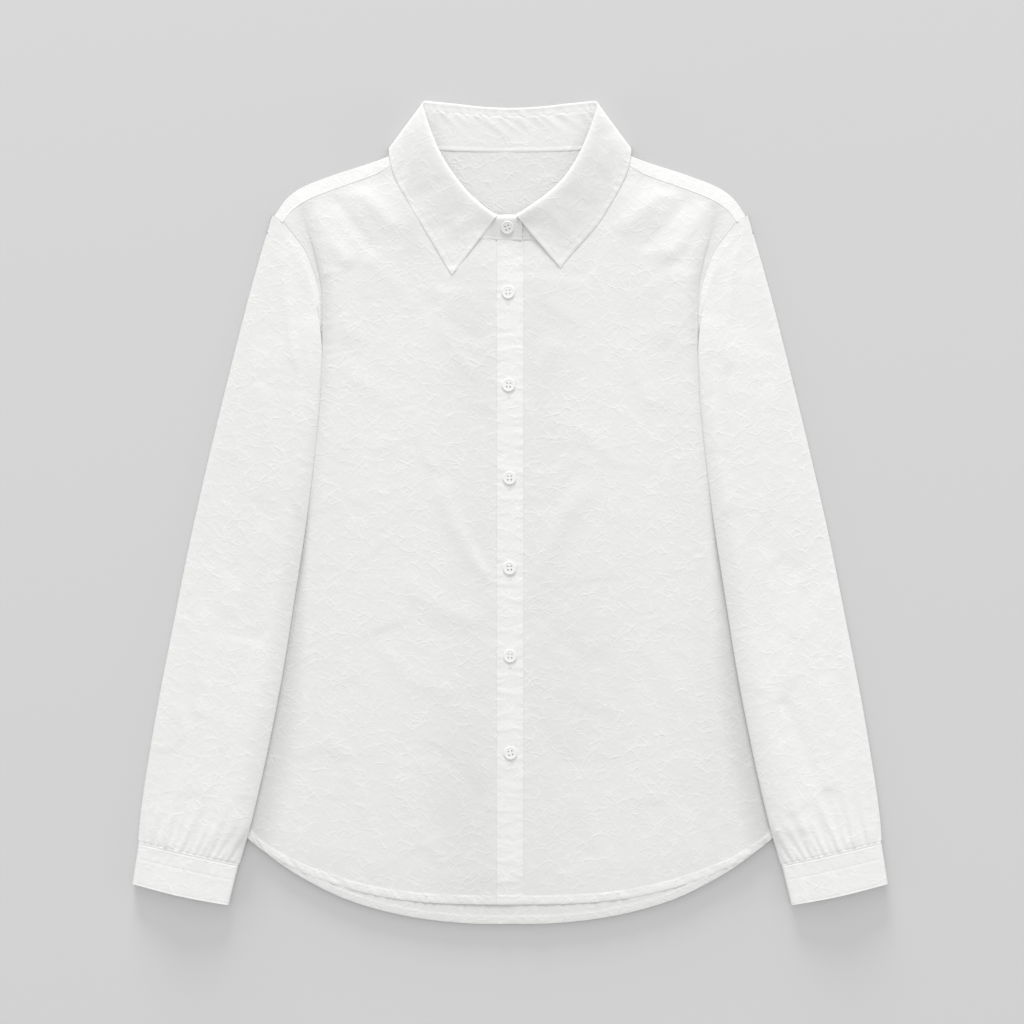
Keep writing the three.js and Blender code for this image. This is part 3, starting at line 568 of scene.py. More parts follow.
# %% Folds in the fronts
FOLDS = table("x0 y0 x1 y1 width height bend", [
    # from the shoulder seams in under the collar
    [-177, 274, -140, 216, 8, 1.9, 4],
    [-143, 288, -100, 246, 9, 1.7, -2],
    [-156, 214, -140, 150, 10, 0.9, 3],
    [176, 272, 134, 222, 8, 2.0, -4],
    [144, 284, 98, 246, 9, 1.6, 2],
    [154, 212, 134, 150, 10, 0.9, -3],
    # troughs between them
    [-181, 262, -168, 214, 5, -0.8, 2],
    [-156, 276, -118, 228, 6, -1.0, 0],
    [180, 260, 166, 210, 5, -0.8, -2],
    [158, 274, 116, 230, 6, -1.0, 0],
    # across the chest and the waist
    [-60, 24, -18, -58, 9, 1.1, 5],
    [-92, -58, -26, -96, 11, 0.8, 6],
    [22, -64, 66, 22, 10, 0.9, -5],
    [40, 150, 18, 96, 9, 0.8, 3],
    # smaller ones, which the cloth adds to the solid's
    [-128, 222, -84, 176, 7, 0.45, -4],
    [-74, 184, -22, 150, 8, -0.40, 4],
    [-66, 176, -30, 118, 6, 0.35, 3],
    [-150, 130, -98, 96, 8, 0.35, 5],
    [-120, 60, -64, 40, 7, 0.30, -4],
    [-50, 14, -20, -40, 6, -0.35, 3],
    [-112, -120, -50, -160, 9, 0.40, 5],
    [-70, -206, -22, -260, 9, -0.45, -5],
    [-96, -230, -60, -306, 8, 0.40, 4],
    [-160, -190, -128, -262, 9, 0.35, -5],
    [-34, -170, -18, -236, 5, 0.30, 3],
    [24, 196, 60, 168, 7, 0.35, 4],
    [96, 150, 130, 92, 8, 0.40, 4],
    [34, 84, 84, 50, 8, 0.35, -4],
    [62, 40, 36, -12, 6, -0.30, 3],
    [26, -90, 82, -136, 9, -0.40, 5],
    [40, -150, 96, -176, 8, 0.35, -4],
    [22, -182, 62, -226, 8, -0.35, 4],
    [110, -110, 150, -168, 9, 0.35, -5],
    [150, -236, 176, -292, 8, -0.40, 4],
    [58, -246, 92, -310, 8, 0.35, 4],
])


def fold_height(folds, x, y):
    """Height of all the folds of a table, each a bent ridge that fades at both ends."""
    height = np.zeros(np.broadcast(x, y).shape)
    for x0, y0, x1, y1, width, rise, bend in zip(*folds.values()):
        dx, dy = x1 - x0, y1 - y0
        length = math.hypot(dx, dy)
        along = ((x - x0) * dx + (y - y0) * dy) / length
        off = ((x - x0) * dy - (y - y0) * dx) / length
        off = off - bend * (1 - ((2 * along / length) - 1) ** 2)
        from_start, from_end = along + width, length - along + width
        ends = smooth(from_start / (2 * width)) * smooth(from_end / (2 * width))
        height = height + rise * ends * bell(off, width)
    return height


def front_fold_height(x, y):
    a = np.abs(x)
    off_placket = smooth((a - PLACKET_HALF - 3) / 16)
    below_seam = smooth((front_top_at(a) - y - 5) / 12)
    return fold_height(FOLDS, x, y) * off_placket * below_seam


# %% Heights of the fronts
FOLD_SECTION = table("inward share", [
    [-1.0, 0.0], [0.7, 0.08], [1.5, 0.3], [2.3, 0.62], [4.2, 0.9], [8, 1.0], [13, 0.92],
    [22, 0.55], [34, 0.1], [46, 0.0],
])
FOLD_SHALLOW = table("inward share", [
    [-1.6, 0.0], [-0.6, 0.5], [0.2, 0.62], [1.5, 0.72], [2.6, 0.82], [4.2, 0.92], [8, 1.0],
    [13, 0.92], [22, 0.55], [34, 0.1], [46, 0.0],
])
fold_deep_at, fold_shallow_at = (
    curve(rows, "inward", "share") for rows in (FOLD_SECTION, FOLD_SHALLOW)
)


def fold_share_at(inward, y):
    """The fold's share of its height. Above the waist the sleeve fills the hollow beside it."""
    return mix(fold_deep_at(inward), fold_shallow_at(inward), smooth((y + 60) / 90))


def edge_level(y):
    return LAYER + CLOTH_MIDDLE + LAYER * smooth((y - 90) / 110)


def back_lift(a, y):
    return LAYER * smooth((y - 288) / 12) * fall((a - 110) / 14)


CHEST_RISE = 2.2  # how much the chest stands above the shoulder seams
BAND_EASE = 60.0  # the cloth comes down from the placket over this distance


def beside_band(side, a):
    """How near the placket a place on the front is. The left front has no placket."""
    return 1 - smooth((a - PLACKET_HALF) / BAND_EASE) if side == "right" else 0


def front_level(side, a, y):
    """Middle of the front's cloth, inside its side fold."""
    rise = PLACKET_LIFT * beside_band(side, a)
    level = LAYER + CLOTH_MIDDLE + LOFT + rise + NECK_LIFT * back_lift(a, y)
    from_top = np.where(a < NECK_HALF, 313 + 0.6 * (NECK_HALF - a), yoke_front_at(a)) - y
    chest = smooth(from_top / 34) * fall((from_top - 34) / 130) * smooth((a - 25) / 70)
    return level + CHEST_RISE * chest + front_fold_height(SIGN[side] * a, y)


def placket_level(x, y):
    return LAYER + LOFT + PLACKET_LIFT + 0.6 + front_fold_height(x, y)


# %% [markdown]
# ## The two fronts
# Each front is one cut of cloth from the neckline and yoke seam down to the hem, out to the armhole
# and side seam. It lies on the back, and where the sleeve is drawn in beside it the side rolls over in
# a long soft fold. Its columns follow both edges, so the grid has no slivers, and the hem gets extra
# rows: its last 7 mm are turned up and stitched.

# %% Front panels
HEM_FOLD = 7.0
HEM_ROWS = np.array([0, 0.7, 2.2, 3.8, 5.2, 6.2, 6.8, 7.4, 8.4])
HEM_SETTLE = 0.75  # how far the fronts settle on the back at their hems
PLACKET_SETTLE = 1.4  # and how much more the placket does, which has two of them under it
SEAM_IN = 1.2  # how far stitches lie inside a hem's fold
ARMHOLE_STITCH = 5.5
ROLL_WIDE = 34.0  # how far in the side's soft fold begins
CRUMPLE_RISE = 1.0
FRONT_STEP = 1.7
HEM_SEED = 3


def front_columns(side, step):
    """Columns as shares of the centre edge, the fold's foot and the side edge, and an offset."""
    centre = 9.6 if side == "right" else -10.0
    columns = []
    for share in in_steps(120, step):
        columns.append((1 - share, share, 0, -ROLL_WIDE * share))
    near = [8, 6.6, 5.3, 4.2, 3.3, 2.6, 2, 1.5, 1, 0.5, 0, -1]
    for inward in [*np.arange(ROLL_WIDE - step, 9, -step), *near]:
        columns.append((0, 1, 0, -inward))
    for share in in_steps(44, 3.2)[1:]:
        columns.append((0, 1 - share, share, 1 - share))
    centre_share, foot_share, edge_share, offset = np.array(columns).T
    offset = offset + centre_share * centre
    return lambda y: offset + foot_share * foot_at(y) + edge_share * front_edge_at(y)


def roping(x, from_hem, seed):
    """Slanting ridges inside the hem, like the lay of a rope."""
    inside = fall((from_hem - HEM_FOLD + 1) / 1.5)
    middle = HEM_FOLD / 2
    return inside * puckers(
        x + 400, from_hem - middle, 800, 6.0, 12, 0.8, seed,
        lean=0.15, slant=-1.1, wide=(1.0, 1.5),
    )


def hem_puckers(x, from_hem, seed):
    """The roping inside the hem, and longer puckers above it."""
    above = puckers(x + 400, from_hem, 800, 10, 9, 0.3, seed + 50, lean=0.7)
    return roping(x, from_hem, seed) + above


def hem_settle(from_hem):
    """How much of its settling the cloth does at a distance above the hem."""
    return 1 - smooth(from_hem / 30)


def hem_shape(from_hem):
    """The turned-up hem: twice the cloth, drawn in along its stitches."""
    fold = 0.42 * fall((from_hem - HEM_FOLD + 0.5) / 0.9)
    stitched = -0.3 * bell(from_hem - HEM_FOLD + SEAM_IN, 0.7)
    return fold + stitched - 0.25 * fall(from_hem / 0.9)


def front_surface(side, a, y):
    """Middle of the front's cloth, with its folds and crumple."""
    inward = foot_at(y) - a
    inside = front_level(side, a, y)
    ground = mix(edge_level(y), inside, smooth(inward / ROLL_WIDE + 0.05))
    z = np.where(inward > ROLL_WIDE, inside, np.where(inward > -1, ground, edge_level(y)))
    z = z + fold_share_at(inward, y) * ridge_at(y)
    x = SIGN[side] * a
    crumple = sample(BODY_CRUMPLE, x, y)
    flat = smooth((inward + 4) / 12) * (0.45 + 0.55 * smooth((a - 13) / 7))
    z = z + crumple * CRUMPLE_RISE * flat
    from_hem = y - front_hem_at(a)
    seed = HEM_SEED + NEXT[side]
    z = z + hem_puckers(x, from_hem, seed) * smooth((inward + 8) / 12)
    from_top = front_top_at(a) - y
    on_yoke = smooth((a - NECK_HALF) / 6)
    z = z + on_yoke * puckers(a, from_top, 220, 9, 13, 0.30, seed + 10, lean=0.5)
    in_armhole = smooth((y - 130) / 20) * smooth((inward + 1) / 4)
    z = z - 0.12 * in_armhole * bell(inward - ARMHOLE_STITCH, 0.8)
    z = z + in_armhole * puckers(y, inward, 300, 11, 16, 0.34, seed + 20, lean=0.6)
    beside_placket = puckers(y + 400, a - PLACKET_HALF, 700, 13, 9, 0.30, seed + 30, lean=0.5)
    z = z + beside_placket * (1 if side == "right" else 0.6)
    settle = HEM_SETTLE + PLACKET_SETTLE * beside_band(side, a)
    z = z - settle * hem_settle(from_hem) * (1 - 0.5 * smooth((a - 150) / 50))
    z = z - 0.45 * on_yoke * fall((from_top - 0.4) / 1.4)
    if side == "right":
        z = z - 0.85 * fall((a - 10.4) / 2.2)  # it goes down under the placket
    return z + hem_shape(from_hem)


PAINTED_SHADE_PLACES = [  # patches of painted shade on the fronts: side, out, up, half sizes, share
    ("right", 44, -250, 34, 80, 0.045), ("right", 160, 214, 22, 60, 0.02),
    ("left", 66, -130, 40, 90, 0.03), ("left", 186, -180, 28, 110, 0.03),
    ("left", 30, 160, 30, 60, 0.02), ("right", 36, 150, 26, 70, 0.025),
    ("right", 86, 236, 12, 18, 0.06),
]
PAINTED_SHADE_BESIDE_SLEEVE = 0.18  # painted shade on the front beside the sleeve


def front_painted_shade(side, a, y):
    """Painted shade by the sleeve, armhole and placket and in patches; painted light and shade on the
    hem.
    """
    inward, from_hem = foot_at(y) - a, y - front_hem_at(a)
    shaded = mix(5, 30, smooth((10 - y) / 250))
    painted_shade = PAINTED_SHADE_BESIDE_SLEEVE * fall(inward / shaded) * smooth((60 - y) / 120)
    painted_shade = painted_shade - 0.03 * fall((from_hem - HEM_FOLD) / 1.0)
    ropes = roping(SIGN[side] * a, from_hem, HEM_SEED + NEXT[side])
    painted_shade = painted_shade - 0.07 * (ropes - 0.15 * (from_hem < HEM_FOLD))
    at_armhole = mix(0.055, 0.09, smooth((y - 120) / 40)) * bell(inward, 7)
    painted_shade = painted_shade + at_armhole * smooth((y + 60) / 60)
    painted_shade = painted_shade + 0.025 * fall((a - 16) / 70) * smooth((front_top_at(a) - y - 10) / 40)
    for own_side, x0, y0, wide, long, share in PAINTED_SHADE_PLACES:
        if own_side == side:
            painted_shade = painted_shade + share * np.exp(-(((a - x0) / wide) ** 2) - ((y - y0) / long) ** 2)
    return painted_shade


def front(side):
    column_at = front_columns(side, FRONT_STEP)
    low = meet(column_at, front_hem_at, np.full(column_at(0.0).shape, -360.0), -200)
    high = meet(column_at, front_top_at, np.full(low.shape, 200.0), 330)
    shares = in_steps(570, FRONT_STEP)[:, None]
    y = np.concatenate([low + HEM_ROWS[:, None], mix(low + HEM_ROWS[-1] + 1.4, high, shares)])
    a = column_at(y)
    points = xyz(SIGN[side] * a, y, front_surface(side, a, y))
    return cloth(f"front_{side}_cloth", [(points, side == "right", front_painted_shade(side, a, y))])


front_right, front_left = front("right"), front("left")


# %% [markdown]
# ## Placket
# The band that the buttons sit on is folded twice and stitched along both edges, so it is thicker and
# stiffer than the fronts. Its two lines of stitches draw it into short level ridges all the way down.

# %% The placket
PLACKET_WALL = 1.05
PLACKET_STITCH = 1.9  # from the band's edge to its stitches


def placket_surface(x, y):
    out = PLACKET_HALF - np.abs(x)
    z = placket_level(x, y) - 0.75 * smooth((x + 2) / 12)
    z = z - 0.14 * bell(out - PLACKET_STITCH, 0.8) - 0.3 * fall(out / 1.1)
    z = z + 0.10 * smooth(out / 6)
    z = z + 0.35 * CRUMPLE_RISE * sample(BODY_CRUMPLE, x, y)
    for edge, seed in ((-PLACKET_HALF, 41), (PLACKET_HALF, 42)):
        z = z + puckers(y + 400, x - edge, 700, 7.5, 10, 0.37, seed, lean=0.30)
    z = z + puckers(y + 400, x, 700, 15, 15, 0.28, 43, lean=0.15)
    from_hem = y - front_hem_at(np.abs(x))
    return z + hem_shape(from_hem) - (HEM_SETTLE + PLACKET_SETTLE) * hem_settle(from_hem)


def placket():
    out = np.array([0, 0.35, 0.8, 1.3, 1.9, 2.6, 3.5])
    inner = np.linspace(-PLACKET_HALF + 4.8, PLACKET_HALF - 4.8, 11)
    across = np.concatenate([-PLACKET_HALF + out, inner, (PLACKET_HALF - out)[::-1]])
    low, high = front_hem_at(np.abs(across)), neckline_at(np.abs(across))
    rows = low + HEM_ROWS[:, None]
    y = np.concatenate([rows, mix(low + HEM_ROWS[-1] + 1.2, high, in_steps(570, 1.35)[:, None])])
    points = xyz(across, y, placket_surface(np.broadcast_to(across, y.shape), y))
    painted_shade = 0.07 * fall((238 - y) / 16)  # the collar shades its top
    sheet = [(points, False, painted_shade)]
    return cloth("placket_cloth", sheet, wall=PLACKET_WALL, material=COLLAR_COTTON)


placket_band = placket()

# %% [markdown]
# ## Back and yoke
# The back lies flat on the surface and shows as a strip below the front's hem. The yoke starts at a
# level seam behind the shoulders, folds over each shoulder and comes down to the front seams. Between
# the shoulders it ends at the neckline, so its inside shows through the neck.

# %% The back
REST_MIDDLE = 0.32  # middle of cloth that lies on the surface
HEM_CURL = 1.7  # how far the back's hem curls up from the surface


def back_surface(x, y):
    a = np.abs(x)
    from_hem = y - back_hem_at(a)
    z = REST_MIDDLE + 0.2 * np.clip(sample(BODY_CRUMPLE[:, ::-1], x, y) * CRUMPLE_RISE + 0.25, 0, 2)
    z = z + 0.6 * np.clip(hem_puckers(x, from_hem, 51), 0, 1)
    z = z + HEM_CURL * hem_settle(from_hem)
    return z + np.clip(0.4 * hem_shape(from_hem), -0.1, 1)


def back():
    shares = np.linspace(-1, 1, 151)

    def column_at(y):
        return shares * back_edge_at(y)

    low = meet(lambda y: np.abs(column_at(y)), back_hem_at, np.full(shares.shape, -370.0), -200)
    rows = low + HEM_ROWS[:, None]
    rest = mix(low + HEM_ROWS[-1] + 2, YOKE_SEAM_Y - 0.3, in_steps(570, 4.6)[:, None])
    y = np.concatenate([rows, rest])
    x = column_at(y)
    # painted shade on the back above its hem, where the front's hem shades it; its upper face is the
    # darker copy of the cotton, painted shade too
    shaded = 0.03 * smooth((y - back_hem_at(np.abs(x)) - HEM_FOLD) / 2)
    grid = (xyz(x, y, back_surface(x, y)), False, shaded)
    sheet = cloth("back_cloth", [grid], material=COTTON_PAINTED_SHADE)
    sheet.data.materials.append(COTTON)
    sheet.modifiers["cloth"].material_offset = 1  # its outer side, which lies on the surface
    return sheet


back_sheet = back()


# %% The yoke
def back_neck_at(a):
    return 316 + 3 * (a / NECK_HALF) ** 2


YOKE_LAP = 2.2  # how far the yoke laps over the fronts
YOKE_FALL = 80  # from the back seam to the fold over the shoulder
YOKE_TURN = [(-1.2, 0.05), (-0.6, 0.3), (-0.6, 0.75), (-1.2, 1.0)]  # outwards, share of the height


def yoke_back_height(a, y):
    return REST_MIDDLE + 0.1 + back_lift(a, y)


def yoke_shoulder(side):
    """The part over one shoulder: from the back seam round the fold to the front seam."""
    q = in_steps(130, 1.8)
    fold_a, fold_y = shoulder_a(q), shoulder_y(q)
    end_a = mix(NECK_HALF, 197.9, q)
    end_y = yoke_front_at(end_a) - YOKE_LAP
    end_z = 0.33 + front_surface(side, end_a, end_y)
    away = np.hypot(fold_a - end_a, fold_y - end_y)
    away_a, away_y = (fold_a - end_a) / away, (fold_y - end_y) / away
    fold_low = yoke_back_height(fold_a, fold_y)
    stops, knots = [], []
    top_a, top_y = fold_a - 1.6 * q, fold_y - 2.6
    for v in (0, 0.35, 0.7, 1):
        a = mix(mix(NECK_HALF, back_edge_at(YOKE_SEAM_Y), q), top_a, v)
        y = mix(YOKE_SEAM_Y, top_y, v)
        stops.append(xyz(a, y, yoke_back_height(a, y)))
        knots.append(YOKE_FALL * v)
    for out, rise in YOKE_TURN:
        reach = out - 0.5
        a, y = fold_a + reach * away_a, fold_y + reach * away_y
        fold_top = np.maximum(end_z - 1.9, fold_low + 0.9)
        stops.append(xyz(a, y, mix(fold_low, fold_top, rise)))
        knots.append(knots[-1] + 1.3)
    for v in (0.3, 0.65, 1):
        a = mix(fold_a - 2 * away_a, end_a, v)
        y = mix(fold_y - 2 * away_y, end_y, v)
        stops.append(xyz(a, y, mix(fold_top + 0.1, end_z, v)))
        knots.append(knots[7] + 9 * v)
    back_rows = np.linspace(0, YOKE_FALL, 27)
    turn_rows = np.linspace(YOKE_FALL, knots[7], 12)[1:]
    at = np.concatenate([back_rows, turn_rows, np.linspace(knots[7], knots[-1], 11)[1:]])
    points = along_curve(knots, np.array(stops), at)
    on_top = smooth((at - knots[6]) / 3)[:, None]
    x = SIGN[side] * points[:, :, 0]
    from_seam = (knots[-1] - at)[:, None]
    height = 0.45 * CRUMPLE_RISE * sample(BODY_CRUMPLE, x, points[:, :, 1])
    height = height + puckers(points[:, :, 0], from_seam, 220, 8, 7, 0.26, 61, lean=0.4)
    height = height * smooth(from_seam / 2) - 0.12 * bell(from_seam - 1.9, 0.7)
    points[:, :, 2] += on_top * height
    points[:, :, 0] = x
    # a painted highlight on top of the shoulders
    return points, len(back_rows), -0.05 * on_top


def yoke():
    right, back_rows, painted_shade = yoke_shoulder("right")
    left = yoke_shoulder("left")[0]
    beside = np.linspace(-90, -78, 6)
    x = np.concatenate([beside, np.linspace(-78, 78, 53)[1:-1], np.linspace(78, 90, 6)])
    a = np.abs(x)
    top = mix(back_neck_at(a), right[back_rows - 1, 0, 1], smooth((a - 80) / 10))
    up_side = right[:back_rows, 0, 1] - YOKE_SEAM_Y
    share = (up_side / up_side[-1])[:, None]
    y = mix(YOKE_SEAM_Y, top, share)
    a_grid = np.broadcast_to(a, y.shape)
    z = yoke_back_height(a_grid, y)
    inside = np.clip(sample(BODY_CRUMPLE, x[None, :] + 0 * y, y) * CRUMPLE_RISE, -0.12, 1)
    z = z + 0.85 * inside * smooth((90 - a) / 8) * smooth((y - YOKE_SEAM_Y) / 8)
    open_neck = smooth((88 - a) / 12) * smooth((y - neckline_at(a)) / 14)
    z = z + open_neck * (LAYER - back_lift(a, y) + 0.8 * smooth((300 - y) / 60))
    neck = (xyz(x, y, z), False)
    sheet = cloth("yoke_cloth", [neck, (left, False, painted_shade), (right, True, painted_shade)], weld=True)
    # the inside of the neck gets the darker copy of the cotton: painted shade
    sheet.data.materials.append(COTTON_PAINTED_SHADE)
    sheet.modifiers["cloth"].material_offset = -1
    for face in sheet.data.polygons:
        if abs(face.center.x) < 0.1 and face.center.z < 0.0026:
            face.material_index = 1
    return sheet


yoke_sheet = yoke()

# %% [markdown]
# ## Sleeves
# Each sleeve is one cut of cloth, joined under the arm into a tube and pressed flat. The tube is laid
# as a closed ring of columns: the upper side close together, where it is seen, and the under side
# wide. Long soft folds run down it from the armhole, and it is gathered into its cuff.

# %% Sleeve sizes
SLEEVE_OUTER = table("y a", [
    [-286, 323.7], [-267.5, 322.3], [-232.7, 317.6], [-163, 305.8], [-93.5, 292.3],
    [-23.9, 278.4], [45.7, 262.7], [115.3, 245.8], [150, 237.1], [185, 228.2],
    [220, 218.4], [240, 212.6], [257, 207.6],
])
ARMHOLE = table("w a y", [
    [0, 207.6, 257], [0.08, 199.9, 252.4], [0.24, 188.6, 238.6], [0.37, 180.2, 226.4],
    [0.52, 173.9, 208.6], [0.65, 169.9, 193.4], [0.77, 168.2, 179], [0.89, 167.8, 164],
    [1, 168.8, 149],
])
CUFF_Y = (-289.2, -308.8)  # outer and inner end of the sleeve, 3 mm inside its cuff
SLEEVE_LONG, SLEEVE_WIDE = 545, 95  # in its middle, and halfway down
sleeve_outer_at = curve(SLEEVE_OUTER, "y", "a")
armhole_a, armhole_y = (curve(ARMHOLE, "w", column) for column in ("a", "y"))


def sleeve_plan(w, t):
    """Where a point of the sleeve lies: w is its share across from outside, t down to the cuff."""
    outer_y, inner_y = mix(257, CUFF_Y[0], t), mix(149, CUFF_Y[1], t)
    outer = sleeve_outer_at(outer_y)
    clear = mix(0.2, 1.4, smooth((t - 0.3) / 0.25))
    inner = mix(168.8, foot_at(inner_y) + clear, smooth(t / 0.04))
    bow = fall(t / 0.45)
    bow_a = armhole_a(w) - mix(207.6, 168.8, w)
    bow_y = armhole_y(w) - mix(257, 149, w)
    return mix(outer, inner, w) + bow * bow_a, mix(outer_y, inner_y, w) + bow * bow_y


def sleeve_ground(a, y, up):
    """What the sleeve lies on. Its under side follows that closely, and its upper side softly."""
    reach, ramp = np.where(up > 0, 40, 25), np.where(up > 0, 58, 13)
    over_back = smooth((back_edge_at(y - 12) + reach - a) / ramp)
    over_front = smooth((front_edge_at(y - 25) + reach - a) / ramp) * smooth((176 - y) / 16)
    return LAYER * (over_back + over_front) * smooth((y + 297) / 26)


def arch_at(w):
    return 1.9 * np.sin(np.pi * w) ** 2


# %% Folds of the sleeves, by share across and millimetres down from the armhole
SLEEVE_FOLDS = {
    "right": table("x0 y0 x1 y1 width height bend", [
        [16, -18, 52, -86, 7, 0.7, 5], [44, -24, 74, -110, 8, -0.5, 4],
        [66, -60, 84, -190, 7, 0.55, 4], [30, -130, 56, -210, 8, 0.45, -5],
        [20, -200, 44, -300, 9, -0.45, 5], [62, -230, 40, -330, 8, 0.5, -5],
        [72, -330, 58, -420, 7, -0.45, 4], [24, -340, 40, -430, 8, 0.6, 5],
        [34, -420, 46, -500, 7, 0.55, -3], [60, -450, 66, -530, 6, -0.5, 3],
        [14, -440, 20, -520, 7, -0.4, -3],
    ]),
    "left": table("x0 y0 x1 y1 width height bend", [
        [14, -16, 48, -92, 7, 0.75, -5], [40, -20, 76, -96, 8, -0.5, 4],
        [70, -70, 80, -200, 8, 0.5, -4], [22, -140, 50, -230, 8, 0.5, 5],
        [58, -240, 30, -330, 9, -0.45, 5], [30, -300, 54, -390, 8, 0.5, -4],
        [64, -400, 50, -500, 6, -0.7, 3], [28, -400, 44, -500, 7, 0.65, 3],
        [72, -440, 66, -530, 6, 0.5, -3], [16, -380, 18, -470, 7, -0.4, 4],
    ]),
}
GATHERS = [(0.07, 20, 0.8), (0.13, 34, 1.0), (0.20, 18, 0.7), (0.27, 40, 1.2), (0.335, 22, 0.8),
           (0.42, 48, 1.1), (0.49, 20, 0.7), (0.56, 30, 1.0), (0.62, 44, 0.8), (0.68, 22, 1.1),
           (0.75, 34, 0.9), (0.81, 20, 0.8), (0.87, 36, 1.1), (0.93, 18, 0.7)]


def gathers(w, from_cuff):
    """Soft pleats above the cuff, each (share across, length, height)."""
    height = 0
    for k, (at, length, rise) in enumerate(GATHERS):
        leaning = at + 0.0035 * at * from_cuff + 0.0006 * (k % 3 - 1) * from_cuff
        section = bell((w - leaning) * SLEEVE_WIDE, 1.7 + 0.06 * from_cuff)
        height = height + rise * section * bell(from_cuff, length)
    return 1.9 * height * mix(0.7, 1, smooth(from_cuff / 9))


# %% The sleeves
SLEEVE_STEP = 1.5
SLEEVE_EDGE = 4.2  # how far in from its edges the sleeve is round
FOLD_MORE = {"right": 1.1, "left": 1.3}


def sleeve(side):
    turn = SLEEVE_EDGE * (1 - np.cos(np.linspace(0, np.pi / 2, 6))) / 90
    across = np.linspace(turn[-1], 1 - turn[-1], round(90 / SLEEVE_STEP))
    over = np.concatenate([turn[:-1], across, 1 - turn[:-1][::-1]])
    under = np.concatenate([1 - turn[1:], np.linspace(0.93, 0.07, 15), turn[1:][::-1], [0]])
    w = np.concatenate([over, under])
    up = np.concatenate([np.ones(len(over)), -np.ones(len(under))])
    up[-1] = 1
    t = np.array([-0.008, -0.005, -0.003, -0.0014, 0, 0.0014, 0.003, 0.005, 0.0075])
    t = np.concatenate([t, in_steps(SLEEVE_LONG, SLEEVE_STEP)[4:-3], [0.9925, 0.9955, 0.998, 1.0]])
    t = t[:, None]
    down = 560 * t
    in_cuff = fall(((1 - t) * SLEEVE_LONG - 1) / 3.6)
    t = np.where(t < 0, t * mix(0.5, 1, smooth(w / 0.2)), t)
    a, y = sleeve_plan(0.5 + (w - 0.5) * (1 - 0.03 * in_cuff), t)
    tucked = fall((down + 1.2) / 3.2) * (up > 0) * smooth(np.minimum(w, 1 - w) * 90 / 5)
    a = a - tucked * mix(1.4, 3.4, smooth((w - 0.2) / 0.4))
    fuller = 0.9 * smooth((t - 0.5) / 0.2)
    apart = mix(1.35, 2.1, smooth(t / 0.1)) + fuller
    crown = 1.1 * smooth(t / 0.12) * fall((t - 0.86) / 0.13)
    from_edge = np.minimum(w, 1 - w) * 90
    round_off = np.sqrt(1 - (1 - np.clip(from_edge / SLEEVE_EDGE, 0, 1)) ** 2)
    arch = arch_at(w) * smooth((t - 0.84) / 0.16)
    level = sleeve_ground(a, y, up) + CLOTH_MIDDLE + arch + (apart / 2) * (1 + up * round_off)
    x = SIGN[side] * a
    top = smooth(from_edge / 5) * (up > 0)
    height = crown * np.sin(np.pi * w) ** 0.7
    folds = fold_height(SLEEVE_FOLDS[side], SLEEVE_WIDE * w + 0 * t, -down + 0 * w)
    height = height + FOLD_MORE[side] * folds * smooth(down / 12) * smooth((552 - down) / 20)
    height = height + CRUMPLE_RISE * sample(SLEEVE_CRUMPLE, x, y) * smooth(down / 5)
    height = height + gathers(w, (1 - t) * SLEEVE_LONG - 3)
    height = height + puckers(60 + w * 130, down, 220, 7, 10, 0.5, 71 + NEXT[side], lean=0.5)
    height = height - 0.14 * bell(down - 4.4, 0.8)
    height = height * smooth((down + 1) / 3) * (1 - in_cuff) - 0.1 * in_cuff
    inner, outer = SLEEVE_WIDE * (1 - w), SLEEVE_WIDE * w
    height = height + puckers(down, inner, 560, 15, 13, 0.28, 75 + NEXT[side], lean=0.7)
    height = height + puckers(down, outer, 560, 19, 11, 0.24, 77 + NEXT[side], lean=0.7)
    z = level + top * height + in_cuff * 1.0 * (up < 0)
    seam_z = front_surface(side, armhole_a(w) - 0.6, armhole_y(w) - 0.4) - 0.42
    at_seam = fall(down / 13) * (up > 0) * smooth(from_edge / 7)
    z = mix(z, seam_z + 0 * z, at_seam)
    points = xyz(x, y, z)
    high_up = smooth((y - 60) / 80)  # 1 beside the armhole and 0 below the chest
    in_valley = mix(fall((inner - 2) / 18), fall((inner - 6) / 3), high_up)
    # painted shade along the inner edge; painted highlights low down, above the cuff, at the armhole
    # seam and on the left sleeve
    painted_shade = mix(0.05, 0.07, high_up) * in_valley - 0.03 * smooth((down - 240) / 160)
    painted_shade = painted_shade + 0.03 * fall(inner / 22) * smooth((60 - y) / 120)
    painted_shade = painted_shade - (0.014 if side == "left" else 0)
    painted_shade = painted_shade - 0.035 * fall((1 - t) * SLEEVE_LONG / 22)
    in_middle = smooth((w - 0.1) / 0.15) * smooth((0.8 - w) / 0.15)
    painted_shade = painted_shade - 0.06 * fall((down - 4.5) / 3.5) * in_middle
    return cloth(f"sleeve_{side}_cloth", [(points, side == "left", painted_shade)], weld=True)


sleeve_right, sleeve_left = sleeve("right"), sleeve("left")

# %% [markdown]
# ## Cuffs
# A cuff is a folded band of two layers with a stiffener between them. Its ends lap and button
# underneath. The gathered sleeve goes in between its layers, with two lines of stitches.

